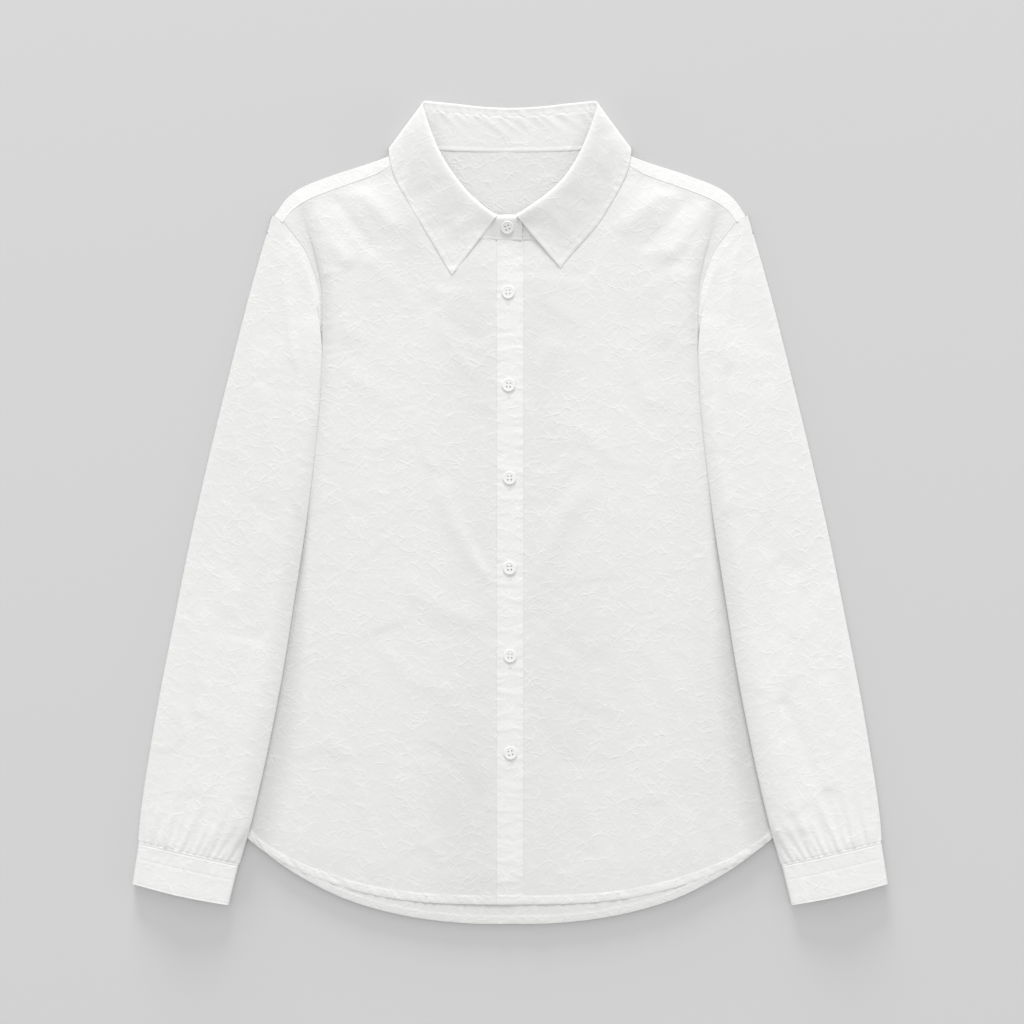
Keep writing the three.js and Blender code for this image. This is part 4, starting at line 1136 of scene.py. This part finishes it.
# %% The cuffs
CUFF_TOP = ((323.9, -286.9), (235.9, -306.8))  # outer and inner corner
CUFF_BOTTOM = ((329.6, -323.2), (244.6, -342.0))
CUFF_WALL = 1.0
CUFF_LONG, CUFF_WIDE = 36.6, 92
CUFF_STITCH = 1.6
CUFF_LOWER = 0.55  # height of the middle of its lower layer
CUFF_UPPER = 3.05  # from there to the middle of its upper one
CUFF_LINE = 14  # its second line of stitches
CUFF_TURN = [(0.035, 0.25), (0.010, 0.9), (0.010, 2.1), (0.035, CUFF_UPPER - 0.25)]
CUFF_ROWS = np.concatenate([
    [0, 0.012, 0.026, 0.043, 0.058, 0.072, 0.088, 0.106], np.linspace(0.13, 0.93, 42),
    [0.945, 0.96, 0.975, 0.988, 1],
])[:, None]


def cuff_plan(w, v):
    top, bottom = ([mix(*ends, w) for ends in zip(*edge)] for edge in (CUFF_TOP, CUFF_BOTTOM))
    bow = 1.4 * v * np.sin(np.pi * w)
    return mix(top[0], bottom[0], v) - 0.2 * bow, mix(top[1], bottom[1], v) - bow


def cuff_relief(side, w, down):
    """What the stitches and the crumple add to the cuff's upper face."""
    a, y = cuff_plan(w, down / CUFF_LONG)
    seed, across = 81 + NEXT[side], w * CUFF_WIDE
    height = 0.16 * bell(down - 0.5, 0.45)
    height = height - 0.34 * bell(down - CUFF_STITCH, 0.5)
    height = height + 0.13 * bell(down - CUFF_STITCH - 1.1, 0.5)
    height = height - 0.14 * bell(CUFF_LONG - down - CUFF_STITCH, 0.7)
    height = height - 0.2 * bell(down - CUFF_LINE, 0.8)
    height = height + puckers(across, down, 95, 6, 7, 0.42, seed, lean=0.3)
    height = height + puckers(across, down - CUFF_LINE, 95, 9, 6, 0.35, seed + 4, lean=0.4)
    height = height + puckers(across, CUFF_LONG - down, 95, 9, 8, 0.30, seed + 2, lean=0.5)
    return height + 0.8 * CRUMPLE_RISE * sample(SLEEVE_CRUMPLE, a * 0.9 * SIGN[side], y - 20)


def cuff(side):
    lapped = [(w, 1.6 * fall((w - 0.66) / 0.2) + arch_at(w)) for w in np.arange(4, 10) / 10]
    inner = [(1 - inset, z) for inset, z in CUFF_TURN]
    upper = [(w, CUFF_UPPER + arch_at(w)) for w in np.linspace(0.92, 0.08, 8)]
    below = [(w, arch_at(w)) for w in (0.1, 0.2, 0.3, 0.4, 0.5, 0.62)]
    ring = np.array(lapped + inner + upper + CUFF_TURN[::-1] + below, float)
    legs = np.hypot(np.diff(ring[:, 0]) * CUFF_WIDE, np.diff(ring[:, 1]))
    knots = np.concatenate([[0], np.cumsum(legs)])
    first, last = knots[len(lapped) + 1], knots[-len(below) - 3]
    at = np.concatenate([
        np.linspace(0, first, 20)[:-1],
        np.linspace(first, last, round((last - first) / 1.5)),
        np.linspace(last, knots[-1], 22)[1:],
    ])
    section = along_curve(knots, ring, at)
    w, lift = section[:, 0], section[:, 1]
    a, y = cuff_plan(w, CUFF_ROWS)
    on_top = (at > first) & (at < last)
    top = on_top * smooth((at - first) / 5) * smooth((last - at) / 5)
    z = CUFF_LOWER + lift + top * cuff_relief(side, w, CUFF_ROWS * CUFF_LONG)
    sheet = [(xyz(SIGN[side] * a, y, z), side == "right")]
    return cloth(f"cuff_{side}_cloth", sheet, wall=CUFF_WALL, material=PRESSED_COTTON)


cuff_right, cuff_left = cuff("right"), cuff("left")

# %% [markdown]
# ## Collar stand and collar
# The stand goes round the neck and its ends lap at the front, under the first button. The collar is
# sewn to its upper edge, turns over a soft roll and falls down outside it to two points at the front.
# At the back the collar lies face down under the shirt, as the neck is pressed flat.

# %% Stations round the neck
COLLAR = table("s seamA seamY rollA rollY rollZ tipA tipY under", [
    [0.0, 12, 239.2, 11.6, 257.6, 9.8, 50.5, 207.0, 0],
    [0.08, 31, 241.6, 23.5, 266.6, 10.4, 58.5, 220.0, 0],
    [0.16, 49, 248.8, 34.8, 276.6, 10.6, 67.0, 234.2, 0],
    [0.24, 64, 260.6, 44.2, 287.4, 10.6, 76.0, 249.4, 0],
    [0.32, 75.5, 276.4, 52.4, 298.6, 10.4, 85.4, 265.2, 0],
    [0.4, 83, 292.0, 60.0, 311.4, 10.0, 94.4, 280.4, 0],
    [0.48, 87.2, 306.0, 67.2, 327.6, 9.4, 100.2, 292.4, 0],
    [0.55, 88.4, 315.0, 73.6, 345.8, 8.6, 103.6, 302.4, 0.03],
    [0.58, 88.0, 318.0, 75.4, 351.6, 8.2, 104.8, 308.6, 0.08],
    [0.6, 87.0, 319.4, 76.0, 354.4, 7.8, 105.3, 314.0, 0.2],
    [0.62, 85.0, 320.0, 75.8, 356.4, 7.4, 105.0, 317.4, 0.5],
    [0.64, 82.0, 320.2, 74.6, 357.4, 6.8, 103.6, 318.2, 0.8],
    [0.67, 77.5, 319.8, 71.4, 357.6, 6.2, 99.6, 315.6, 1],
    [0.71, 71, 319.2, 66.0, 357.2, 5.8, 93.0, 311.8, 1],
    [0.8, 48, 318.0, 45.0, 355.8, 5.6, 66.0, 310.4, 1],
    [0.9, 24, 317.2, 22.5, 354.4, 5.6, 33.0, 310.4, 1],
    [1.0, 0, 317.0, 0, 354.0, 5.6, 0, 310.6, 1],
])
collar_at = {column: curve(COLLAR, "s", column) for column in COLLAR}


def half_neck():
    """Stations from the front end to the middle of the back, closest where the collar turns."""
    return np.concatenate([
        np.linspace(0, 0.5, 86)[:-1], np.linspace(0.5, 0.72, 64)[:-1], np.linspace(0.72, 1, 42),
    ])


def both_halves(rib):
    """Ribs of the right half, then of the left one back to the front: (stations, rib, xyz)."""
    s = half_neck()
    right, left = rib(s, "right"), rib(s, "left")
    return np.concatenate([right, left[::-1][1:]])


# The left end of the collar lies a little further in than the right one: millimetres at its end.
LEFT_SHIFT = {"rollA": -6.2, "rollY": 0.4, "rollZ": 1.2, "tipA": -6.4, "tipY": 6.0}


def stations(s, side):
    at = {column: collar_at[column](s) for column in COLLAR}
    at["rollY"] = at["rollY"] - 2.4 * smooth((s - 0.66) / 0.34)
    if side == "left":
        for column, shift in LEFT_SHIFT.items():
            at[column] = at[column] + shift * fall(s / 0.3)
    turn = smooth(at["under"])
    return at, turn, mix(0.84, 0.80, turn)


# %% The collar
COLLAR_FALL = [
    (0.03, 1.0, 0.45), (0.09, 1.0, 0.12), (0.2, 0.87, 0.0), (0.36, 0.64, 0.0), (0.54, 0.42, 0.0),
    (0.76, 0.17, 0.0), (1.0, 0.0, 0.0),
]
COLLAR_WALL = 0.7
ROLL_SEED = 98  # the roll's dents and the stand's streaks are the same creases
COLLAR_STITCH = 5.0  # from the collar's edge to its stitches
COLLAR_OVER = 0.52  # from the middle of the front's cloth to the middle of the collar's edge
COLLAR_WIDE = 56  # from the stand, over the roll and down to the edge
COLLAR_KNOTS = [0, 2.0, 3.6, 5.2, 9, 15, 23, 32, 43, COLLAR_WIDE]
NECK_LONG = 205  # half way round the neck
COLLAR_SEED = 91


def collar_rib(s, side):
    at, turn, stand_share = stations(s, side)
    on_front = front_level(side, at["tipA"], at["tipY"]) + COLLAR_OVER
    on_front = on_front + 0.5 * smooth((s - 0.38) / 0.08)
    tip_z = mix(on_front, 0.5, turn)
    stops = []
    inner = [
        (stand_share - 0.05, mix(3.1, 1.8, turn)),
        (mix(0.95, 0.91, turn), mix(2.0, 0.9, turn)),
        (1 + 0 * s, mix(1.2, 1.0, turn)),
    ]
    for share, below in inner:
        a, y = mix(at["seamA"], at["rollA"], share), mix(at["seamY"], at["rollY"], share)
        stops.append(xyz(a, y, at["rollZ"] - below))
    over_fold = smooth((s - 0.38) / 0.1) * (1 - turn)
    for w, top, under in COLLAR_FALL:
        a, y = mix(at["rollA"], at["tipA"], w), mix(at["rollY"], at["tipY"], w)
        top = top * mix(mix(1, 0.45, smooth(w / 0.3)), 1, smooth(s / 0.14))
        z = tip_z + (at["rollZ"] - tip_z) * mix(top, under, turn)
        z = z + over_fold * math.sin(math.pi * w)
        stops.append(xyz(a, y, z))
    far = np.array([0, 0.7, 1.4, 2.2, 3.2, 4.2, 4.9, 5.5, 6.5])
    near = np.concatenate([np.linspace(0, 9, 15)[:-1], np.linspace(9, COLLAR_WIDE - 7.5, 28)])
    places = np.concatenate([near, COLLAR_WIDE - far[::-1]])
    points = along_curve(COLLAR_KNOTS, np.array(stops), places).transpose(1, 0, 2)
    places = places[None, :]
    from_edge = COLLAR_WIDE - places
    from_end = (s * NECK_LONG)[:, None]
    edge = np.minimum(from_edge, from_end)
    fallen = smooth((places - 9) / 8)
    turn = turn[:, None]
    x = SIGN[side] * points[:, :, 0]
    along = 300 + (from_end if side == "right" else 2 * NECK_LONG - from_end)
    height = 0.85 * CRUMPLE_RISE * sample(BODY_CRUMPLE, x + 30, points[:, :, 1] - 160)
    edge_puckers = puckers(along, from_edge, 760, 8, 11, 0.42, COLLAR_SEED, lean=0.5)
    height = height + edge_puckers * smooth(from_end / 5)
    height = height + puckers(from_edge + 20, from_end, 90, 9, 12, 0.40, COLLAR_SEED + 2, lean=0.5)
    height = height + puckers(
        along, from_edge - 22, 760, 24, 26, 0.9, COLLAR_SEED + 5, lean=0.6, wide=(5, 8))
    stitch = bell(edge - COLLAR_STITCH, 0.8)
    height = height * fallen - 0.18 * stitch * smooth((places - 9) / 6)
    rim = 0.12 * bell(edge - 1.6, 1.0) - 0.2 * fall(edge / 0.8)
    height = (height + rim * fallen) * (1 - turn) * smooth(from_edge / 2.4 + 0.25)
    roll_dents = puckers(along, places - 2, 760, 6.5, 6, 0.9, ROLL_SEED, lean=0.4, slant=-0.8)
    height = height + roll_dents * np.maximum(turn, 0.5) * smooth((7 - places) / 4)
    groove = 0.5 * turn * bell(places - 2.0, 0.6)
    points[:, :, 2] += height - groove
    points[:, :, 0] = x
    return points


def leaf_painted_shade(s, u, starts, long, less, more):
    """How shaded the leaf is at station s: less at its edge, and more just past the roll."""
    shaded = smooth((s - starts) / long) * fall((s - 0.52) / 0.06)
    return shaded * smooth((u - 0.2) / 0.18) * (less + more * fall((u - 0.6) / 0.3))


collar_grid = both_halves(collar_rib)
s, u = half_neck()[:, None], np.linspace(0, 1, collar_grid.shape[1])
# painted shade on each leaf just past the roll, and a little over all of the left half
leaves = leaf_painted_shade(s, u, 0.04, 0.14, 0.028, 0.03), leaf_painted_shade(s, u, 0.02, 0.16, 0.05, 0.025)
collar_painted_shade = np.concatenate([leaves[0], 0.012 + leaves[1][::-1][1:]])
sheet = [(collar_grid, False, collar_painted_shade)]
collar = cloth("collar_cloth", sheet, wall=COLLAR_WALL, material=COLLAR_COTTON)


# %% The stand
STAND_END = {"right": -10.5, "left": -8.5}  # how far each end passes the centre line
STAND_WALL = 0.62
STAND_WIDE = 31
STAND_UP = np.concatenate([
    [-0.1, -0.08, -0.05, -0.01, 0.04], np.linspace(0.09, 0.9, 12), [0.94, 0.97, 1],
])


def stand_foot(at, s, turn, side):
    over_front = front_level(side, at["seamA"], at["seamY"])
    over_front = over_front + mix(0.62, 0.95, smooth((s - 0.1) / 0.1))
    return mix(over_front + LAYER * smooth((s - 0.44) / 0.06), 0.5 + 1.27 * LAYER, turn)


def along_stand(s, side):
    return 300 + (s if side == "right" else 2 - s)[:, None] * NECK_LONG


def stand_streaks(s, side):
    """Slanting creases down from the stand's upper seam."""
    below = STAND_WIDE - STAND_WIDE * (STAND_UP + 0.1)
    along = along_stand(s, side)
    slanted = puckers(along, below, 720, 6.5, 13, 0.9, ROLL_SEED, lean=0.4, slant=0.8)
    return slanted * smooth(s / 0.2)[:, None]


def stand_rib(s, side):
    at, turn, stand_share = stations(s, side)
    foot = stand_foot(at, s, turn, side)
    top = at["rollZ"] - mix(mix(0.6, 2.8, smooth(s / 0.2)), 1.2, turn)
    stand_share = mix(1.09, stand_share, smooth(s / 0.08))
    tucked = 1.7 * fall((s - 0.04) / 0.1) if side == "left" else 0 * s
    share = stand_share[:, None] * STAND_UP
    a, y = (mix(at["seam" + k][:, None], at["roll" + k][:, None], share) for k in ("A", "Y"))
    z = mix(foot[:, None], top[:, None], STAND_UP) - tucked[:, None] * STAND_UP
    high = STAND_WIDE * (STAND_UP + 0.1)
    x = SIGN[side] * a
    height = 0.6 * CRUMPLE_RISE * sample(BODY_CRUMPLE, x, y + 0 * x - 60)
    height = height + puckers(along_stand(s, side), high, 720, 8, 8, 0.25, 97, lean=0.2)
    height = height + stand_streaks(s, side)
    height = height - 0.35 * smooth((STAND_UP - 0.955) / 0.045) * turn[:, None]
    height = height + 0.28 * bell(high - 1.5, 0.9) - 0.2 * bell(high - 3.6, 0.8)
    at_end = smooth((STAND_UP - 0.74) / 0.26) ** 2
    height = height - 2.4 * at_end * fall(s / 0.1)[:, None]
    return xyz(x, y, z + height)


CORNER = 5.0  # the overlapping end is cut round at its upper corner


def stand_end(side):
    """Ribs from the stand's end to its first station."""
    rib = stand_rib(np.array([0.0]), side)[0]
    stop = STAND_END[side]
    share = np.linspace(0, 1, len(rib)) * (1.0 if side == "right" else 0.4)
    ends = []
    for in_from_end in [0, 0.5, 1.2, 2.2, *np.linspace(3.4, 10.6 - stop, 13)]:
        inset = max(0.0, 1 - in_from_end / CORNER)
        cut = CORNER * (1 - math.sqrt(1 - inset**2))
        x = SIGN[side] * (stop + in_from_end)
        ends.append(xyz(x, rib[:, 1] - 0.3 - cut * share, rib[:, 2]))
    return np.array(ends)


def collar_stand():
    ends = stand_end("right"), stand_end("left")[::-1]
    points = np.concatenate([ends[0], both_halves(stand_rib), ends[1]])
    streaks = np.zeros(points.shape[:2])
    streaks[len(ends[0]):-len(ends[1])] = both_halves(stand_streaks)
    a, y = np.abs(points[:, :, 0]), points[:, :, 1]
    # painted shade on the front ends under the leaves and on the back's sides, and painted light and
    # shade along the streaks
    painted_shade = 0.085 * fall((a - 14) / 10) * (y < 300) * fall((y - 254) / 4)
    behind = smooth((y - 300) / 15)
    painted_shade = painted_shade + behind * (0.06 * smooth((a - 50) / 20) - 0.05 * (streaks - 0.2))
    sheet = [(points, True, painted_shade)]
    return cloth("collar_stand_cloth", sheet, wall=STAND_WALL, material=COLLAR_COTTON)


stand = collar_stand()

# %% [markdown]
# ## Stitches
# Every seam is held by a line of small stitches. One stitch is a rounded bar of thread a little more
# than 2 mm long, and a seam repeats it along its path, laid on the cloth and turned to follow it.

# %% Sewing
STITCH_PITCH = 3.1


def thread_bar(length, wide, high):
    """One stitch, along X, with its ends rounded down into the cloth."""
    bm = bmesh.new()
    bmesh.ops.create_cube(bm, size=1)
    bmesh.ops.scale(bm, vec=Vector((length, wide, high)) * MM, verts=bm.verts)
    upper = [edge for edge in bm.edges if all(vert.co.z > 0 for vert in edge.verts)]
    down = 0.32 * high * MM
    bmesh.ops.bevel(
        bm, geom=upper, offset=down, segments=1, affect="EDGES", profile=0.5, material=-1,
    )
    return mesh_from(bm, "stitch")


def walk(path, pitch):
    """Even steps along a path of points in mm: places and directions."""
    legs = np.linalg.norm(np.diff(path, axis=0), axis=1)
    run = np.concatenate([[0], np.cumsum(legs)])
    at = np.arange(pitch / 2, run[-1], pitch)
    places, ahead, behind = (
        np.stack([np.interp(at + step, run, path[:, k]) for k in range(3)], axis=1)
        for step in (0, pitch / 3, -pitch / 3)
    )
    return places, ahead - behind


def sew(name, paths, bar, pitch=STITCH_PITCH, across=False):
    """Repeats one bar along every path, lengthwise, or across it as in a buttonhole."""
    bm = bmesh.new()
    for path in paths:
        for place, direction in zip(*walk(np.asarray(path, float), pitch)):
            along = Vector(direction).normalized()
            side = Vector((0, 0, 1)).cross(along).normalized()
            if across:
                along, side = side, -along
            up = along.cross(side)
            turn = Matrix((along, side, up)).transposed().to_4x4()
            pose = Matrix.Translation(Vector(place) * MM) @ turn
            bar.transform(pose)
            bm.from_mesh(bar)
            bar.transform(pose.inverted())
    for face in bm.faces:
        face.smooth = False
    return show(name, mesh_from(bm, name, THREAD))


STITCH = thread_bar(2.3, 0.42, 0.36)
SATIN = thread_bar(1.5, 0.34, 0.32)
OVER = 0.02  # how far a line of stitches is raised out of the cloth
ABOVE = CLOTH / 2 + OVER

# %% Stitch lines
stitches = []


def front_stitches(side):
    a = np.linspace(13, 238, 160)
    hem = front_hem_at(a) + HEM_FOLD - SEAM_IN
    keep = a < foot_at(hem) + 14
    a, hem = a[keep], hem[keep]
    paths = [xyz(SIGN[side] * a, hem, front_surface(side, a, hem) + ABOVE)]
    return sew(f"front_{side}_stitches", paths, STITCH)


for side in ("right", "left"):
    stitches.append((front_stitches(side), f"front_{side}"))

y = np.linspace(-340, 236, 420)
edges = [np.full(y.shape, k * (PLACKET_HALF - PLACKET_STITCH)) for k in (-1, 1)]
paths = [xyz(x, y, placket_surface(x, y) + PLACKET_WALL / 2 + OVER) for x in edges]
stitches.append((sew("placket_stitches", paths, STITCH), "placket"))

x = np.linspace(-232, 232, 300)
hem = back_hem_at(np.abs(x)) + HEM_FOLD - SEAM_IN
paths = [xyz(x, hem, back_surface(x, hem) + ABOVE)]
stitches.append((sew("back_stitches", paths, STITCH), "back"))

for side in ("right", "left"):
    # round the armhole, on the front
    w = np.linspace(0.16, 0.97, 90)
    a, y = armhole_a(w), armhole_y(w)
    da, dy = np.gradient(a), np.gradient(y)
    long = np.hypot(da, dy)
    a, y = a + ARMHOLE_STITCH * dy / long, y - ARMHOLE_STITCH * da / long
    path = xyz(SIGN[side] * a, y, front_surface(side, a, y) + ABOVE)
    stitches.append((sew(f"armhole_{side}_stitches", [path], STITCH), f"front_{side}"))
    # along the cuff's seam
    w = np.linspace(0.03, 0.97, 60)
    a, y = cuff_plan(w, CUFF_STITCH / CUFF_LONG)
    relief = cuff_relief(side, w, CUFF_STITCH + 0 * w)
    z = CUFF_LOWER + CUFF_UPPER + arch_at(w) + relief + CUFF_WALL / 2 + OVER
    path = xyz(SIGN[side] * a, y, z)
    stitches.append((sew(f"cuff_{side}_stitches", [path], STITCH), f"cuff_{side}"))

# on the yoke's front seams, beside the collar's edge and up its two ends
paths = [yoke_shoulder(side)[0][-3] + (0, 0, ABOVE) for side in ("right", "left")]
stitches.append((sew("yoke_stitches", paths, STITCH), "yoke"))
at_end = int(np.argmin(np.abs(half_neck() * NECK_LONG - COLLAR_STITCH)))
lift = (0, 0, COLLAR_WALL / 2 + OVER)
paths = [collar_grid[at_end:-at_end - 1, -7] + lift]
paths += [collar_grid[k, 14:-6] + lift for k in (at_end, -at_end - 1)]
stitches.append((sew("collar_stitches", paths, STITCH), "collar"))


# %% Buttonholes
def buttonhole(x, y0, y1, surface):
    """Two close rows of satin stitches, one on each side of a slot."""
    y = np.linspace(y0, y1, 30)
    return [xyz(x + out, y, surface(np.full(y.shape, x + out), y)) for out in (-0.95, 0.95)]


PLACKET_BUTTONS = [
    (-1.7, 191.8, 4), (-1.3, 110.9, -3), (-0.4, 30, 2), (-0.4, -48.3, 5), (0, -124.8, -4),
    (0.4, -209.2, 12),
]


def on_placket(x, y):
    return placket_surface(x, y) + PLACKET_WALL / 2 + 2 * OVER


rows = []
for x, y, _ in PLACKET_BUTTONS:
    rows += buttonhole(x, y - 11.0, y + 3.4, on_placket)
stitches.append((sew("buttonhole_stitches", rows, SATIN, pitch=0.45, across=True), "placket"))
print(len(stitches), "lines of stitches")

# %% [markdown]
# ## Buttons
# Shirt buttons are turned from a disc: a raised rim, a sunken face and four holes, with thread
# through them. The rim is spun round, and both faces are filled round their four holes.

# %% One button
BUTTON_RING = [
    (4.0, 0.36), (4.2, 0.39), (4.4, 0.48), (4.65, 0.56), (4.95, 0.58), (5.25, 0.54), (5.6, 0.38),
    (5.82, 0.12), (5.85, -0.05), (5.7, -0.3), (5.2, -0.55), (4.9, -0.66), (4.0, -0.7),
]
HOLE_RADIUS, HOLE_OUT = 0.75, 1.5


def button_mesh():
    bm = bmesh.new()
    section = [bm.verts.new((r * MM, 0, z * MM)) for r, z in BUTTON_RING]
    edges = [bm.edges.new(pair) for pair in zip(section, section[1:])]
    axis = {"cent": (0, 0, 0), "axis": (0, 0, 1), "angle": math.tau, "steps": 48}
    bmesh.ops.spin(bm, geom=section + edges, use_merge=True, use_duplicate=False, **axis)
    bmesh.ops.remove_doubles(bm, verts=bm.verts, dist=0.001 * MM)
    rim = list(bm.faces)
    walls = []
    for level in (BUTTON_RING[0][1], BUTTON_RING[-1][1]):
        outer = [
            edge for edge in bm.edges
            if edge.is_boundary and all(abs(v.co.z - level * MM) < 1e-7 for v in edge.verts)
        ]
        holes = []
        for x in (-HOLE_OUT, HOLE_OUT):
            for y in (-HOLE_OUT, HOLE_OUT):
                at = Matrix.Translation(Vector((x, y, level)) * MM)
                ring = bmesh.ops.create_circle(
                    bm, segments=12, radius=HOLE_RADIUS * MM, matrix=at)["verts"]
                bm.edges.index_update()
                hole = {edge for vert in ring for edge in vert.link_edges}
                holes.append(sorted(hole, key=lambda edge: edge.index))
        walls.append(holes)
        outline = outer + [edge for hole in holes for edge in hole]
        bmesh.ops.triangle_fill(bm, edges=outline, use_beauty=True)
    for upper, lower in zip(*walls):
        bmesh.ops.bridge_loops(bm, edges=upper + lower)
    bmesh.ops.recalc_face_normals(bm, faces=bm.faces)
    for face in rim:
        face.smooth = True
    mesh = mesh_from(bm, "button", BUTTON_PLASTIC)
    print("a button has", len(mesh.polygons), "faces")
    return mesh


def thread_mesh():
    """Two bars of thread between the holes, drawn down into them."""
    bm = bmesh.new()
    for side in (-1, 1):
        for strand in (-0.2, 0.2):
            bar = bmesh.ops.create_cone(
                bm, segments=8, radius1=0.16 * MM, radius2=0.16 * MM, depth=3.4 * MM, cap_ends=True,
                matrix=Matrix.Rotation(math.pi / 2, 4, "X"),
            )["verts"]
            middle = Vector((side * HOLE_OUT + strand, 0, -0.15))
            bmesh.ops.translate(bm, vec=middle * MM, verts=bar)
    for face in bm.faces:
        face.smooth = len(face.verts) == 4
    return mesh_from(bm, "button_thread", THREAD)


BUTTON = button_mesh()
BUTTON_THREAD = thread_mesh()


def put_button(name, pose, plastic=None):
    made = []
    for part, mesh in (("plastic", BUTTON), ("thread", BUTTON_THREAD)):
        copy = mesh.copy()
        copy.transform(pose)
        if plastic and part == "plastic":
            copy.materials[0] = plastic
        made.append(show(f"{name}_{part}", copy))
    return made


# %% All buttons
buttons = {}
BUTTON_LIFT = 0.8  # from the cloth to the middle of its button
for i, (x, y, turn) in enumerate(PLACKET_BUTTONS, start=2):
    z = placket_level(x, y) + 0.6 + BUTTON_LIFT
    at = Matrix.Translation(Vector((x, float(y), float(z))) * MM)
    turned = Matrix.Rotation(math.radians(turn), 4, "Z")
    buttons[f"button_{i}"] = put_button(f"button_{i}", at @ turned)

rib = stand_rib(np.array([0.0]), "right")[0]
low, high = (np.array([y, np.interp(y, rib[:, 1], rib[:, 2])]) for y in (243.4, 252.4))
tilt = math.atan2(high[1] - low[1], high[0] - low[0])
middle = (low + high) / 2 + (0.5 + BUTTON_LIFT) * np.array([-math.sin(tilt), math.cos(tilt)])
at = Vector((-2.4, *middle))
turned = Matrix.Rotation(tilt, 4, "X") @ Matrix.Rotation(math.radians(22), 4, "Z")
# the first button gets the darker plastic: painted shade under the collar
buttons["button_1"] = put_button("button_1", Matrix.Translation(at * MM) @ turned, SHADED_PLASTIC)
for side in ("right", "left"):
    a, y = cuff_plan(0.5, 0.5)
    at = Matrix.Translation(Vector((SIGN[side] * a, y, 1.25)) * MM)
    name = f"cuff_button_{side}"
    buttons[name] = put_button(name, at @ Matrix.Rotation(math.pi, 4, "X"))
print(len(buttons), "buttons")

# %% [markdown]
# ## What each piece stands for
# Every sheet takes the place of the stiff wall of the same name. Each also says how large its cloth
# was cut. A tube gives its size all round.

# %% Pieces of the shirt
SHEETS = [
    # piece, node, (width, length), area in square metres
    (back_sheet, "back_panel", (0.486, 0.573), 0.2381),
    (yoke_sheet, "yoke", (0.412, 0.135), 0.0393),
    (front_right, "front_right", (0.232, 0.654), 0.1196),
    (front_left, "front_left", (0.253, 0.654), 0.1322),
    (placket_band, "placket", (0.0226, 0.58), None),
    (sleeve_right, "sleeve_right", (0.235, 0.56), 0.0965),
    (sleeve_left, "sleeve_left", (0.235, 0.56), 0.0965),
    (cuff_right, "cuff_right", (0.205, 0.037), None),
    (cuff_left, "cuff_left", (0.205, 0.037), None),
    (stand, "collar_stand", (0.43, 0.031), None),
    (collar, "collar", (0.43, 0.062), 0.0231),
]
for piece, name, flat, area in SHEETS:
    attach(piece, "root")
    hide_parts(name)
for piece, _ in stitches:
    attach(piece, "root")
for name, (plastic, thread) in buttons.items():
    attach(plastic, "root")
    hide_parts(name)
    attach(thread, "root")

# %% [markdown]
# ## Table, light and camera
# The shirt lies on a plain pale surface. One large soft light beyond the collar reaches the shirt
# alone. Four low lamps reach the surface alone, and the rest of the room is bright. The camera looks
# straight down.

# %% The surface
bm = bmesh.new()
bmesh.ops.create_grid(bm, x_segments=1, y_segments=1, size=6.0)
PALE = start_material("pale_surface", (0.70, 0.698, 0.70), 0.95, Specular_IOR_Level=0.1)
surface = show("surface", mesh_from(bm, "surface", PALE))

# %% Light
world = bpy.data.worlds.new("room")
bpy.context.scene.world = world
world.use_nodes = True
background = world.node_tree.nodes["Background"]
background.inputs["Color"].default_value = (1, 1, 1, 1)
background.inputs["Strength"].default_value = 0.71


def put_lamp(name, shape, wide, high, energy, place, lit):
    """An area light that points at the origin and lights only the objects of one collection."""
    data = bpy.data.lights.new(name, "AREA")
    data.shape = shape
    data.size, data.size_y, data.energy = wide, high, energy
    lamp = show(name, data)
    lamp.location = place
    lamp.rotation_euler = (-lamp.location).to_track_quat("-Z", "Y").to_euler()
    lamp.light_linking.receiver_collection = lit
    return lamp


shirt_only = bpy.data.collections.new("lit_by_window")
button_parts = [part for pair in buttons.values() for part in pair]
for piece in [row[0] for row in SHEETS + stitches] + button_parts:
    shirt_only.objects.link(piece)
window = put_lamp("window", "DISK", 2.6, 2.6, 211, (0.2, 5.1, 2.3), shirt_only)

# The surface gets lamps of its own, low and far away, so that the shirt throws a long soft shadow that
# starts dark at its edge: two beyond the collar, where most of the light is, and one on either side.
surface_only = bpy.data.collections.new("lit_by_low_lamps")
surface_only.objects.link(surface)
low_lamps = [
    put_lamp(name, "ELLIPSE", wide, high, energy, place, surface_only)
    for name, wide, high, energy, place in (
        ("low_lamp", 3.4, 1.2, 1330, (-1.0, 8.0, 0.6)),
        ("wide_lamp", 4.0, 3.2, 120, (-1.0, 7.6, 2.3)),
        ("side_lamp_right", 3.0, 1.6, 95, (-7.5, -0.6, 0.8)),
        ("side_lamp_left", 3.0, 1.6, 95, (7.5, -0.6, 0.8)),
    )
]

# %% Camera
VIEW_WIDE = 0.8909  # how much of the surface the camera takes in, in metres
LENS, SENSOR = 100.0, 36.0
eye = bpy.data.cameras.new("camera")
eye.lens, eye.sensor_width = LENS, SENSOR
camera = show("camera", eye)
camera.location = (1.74 * MM, 0.435 * MM, 0.005 + VIEW_WIDE * LENS / SENSOR)
scene = bpy.context.scene
scene.camera = camera
scene.view_settings.view_transform = "Standard"
scene.view_settings.look = "None"
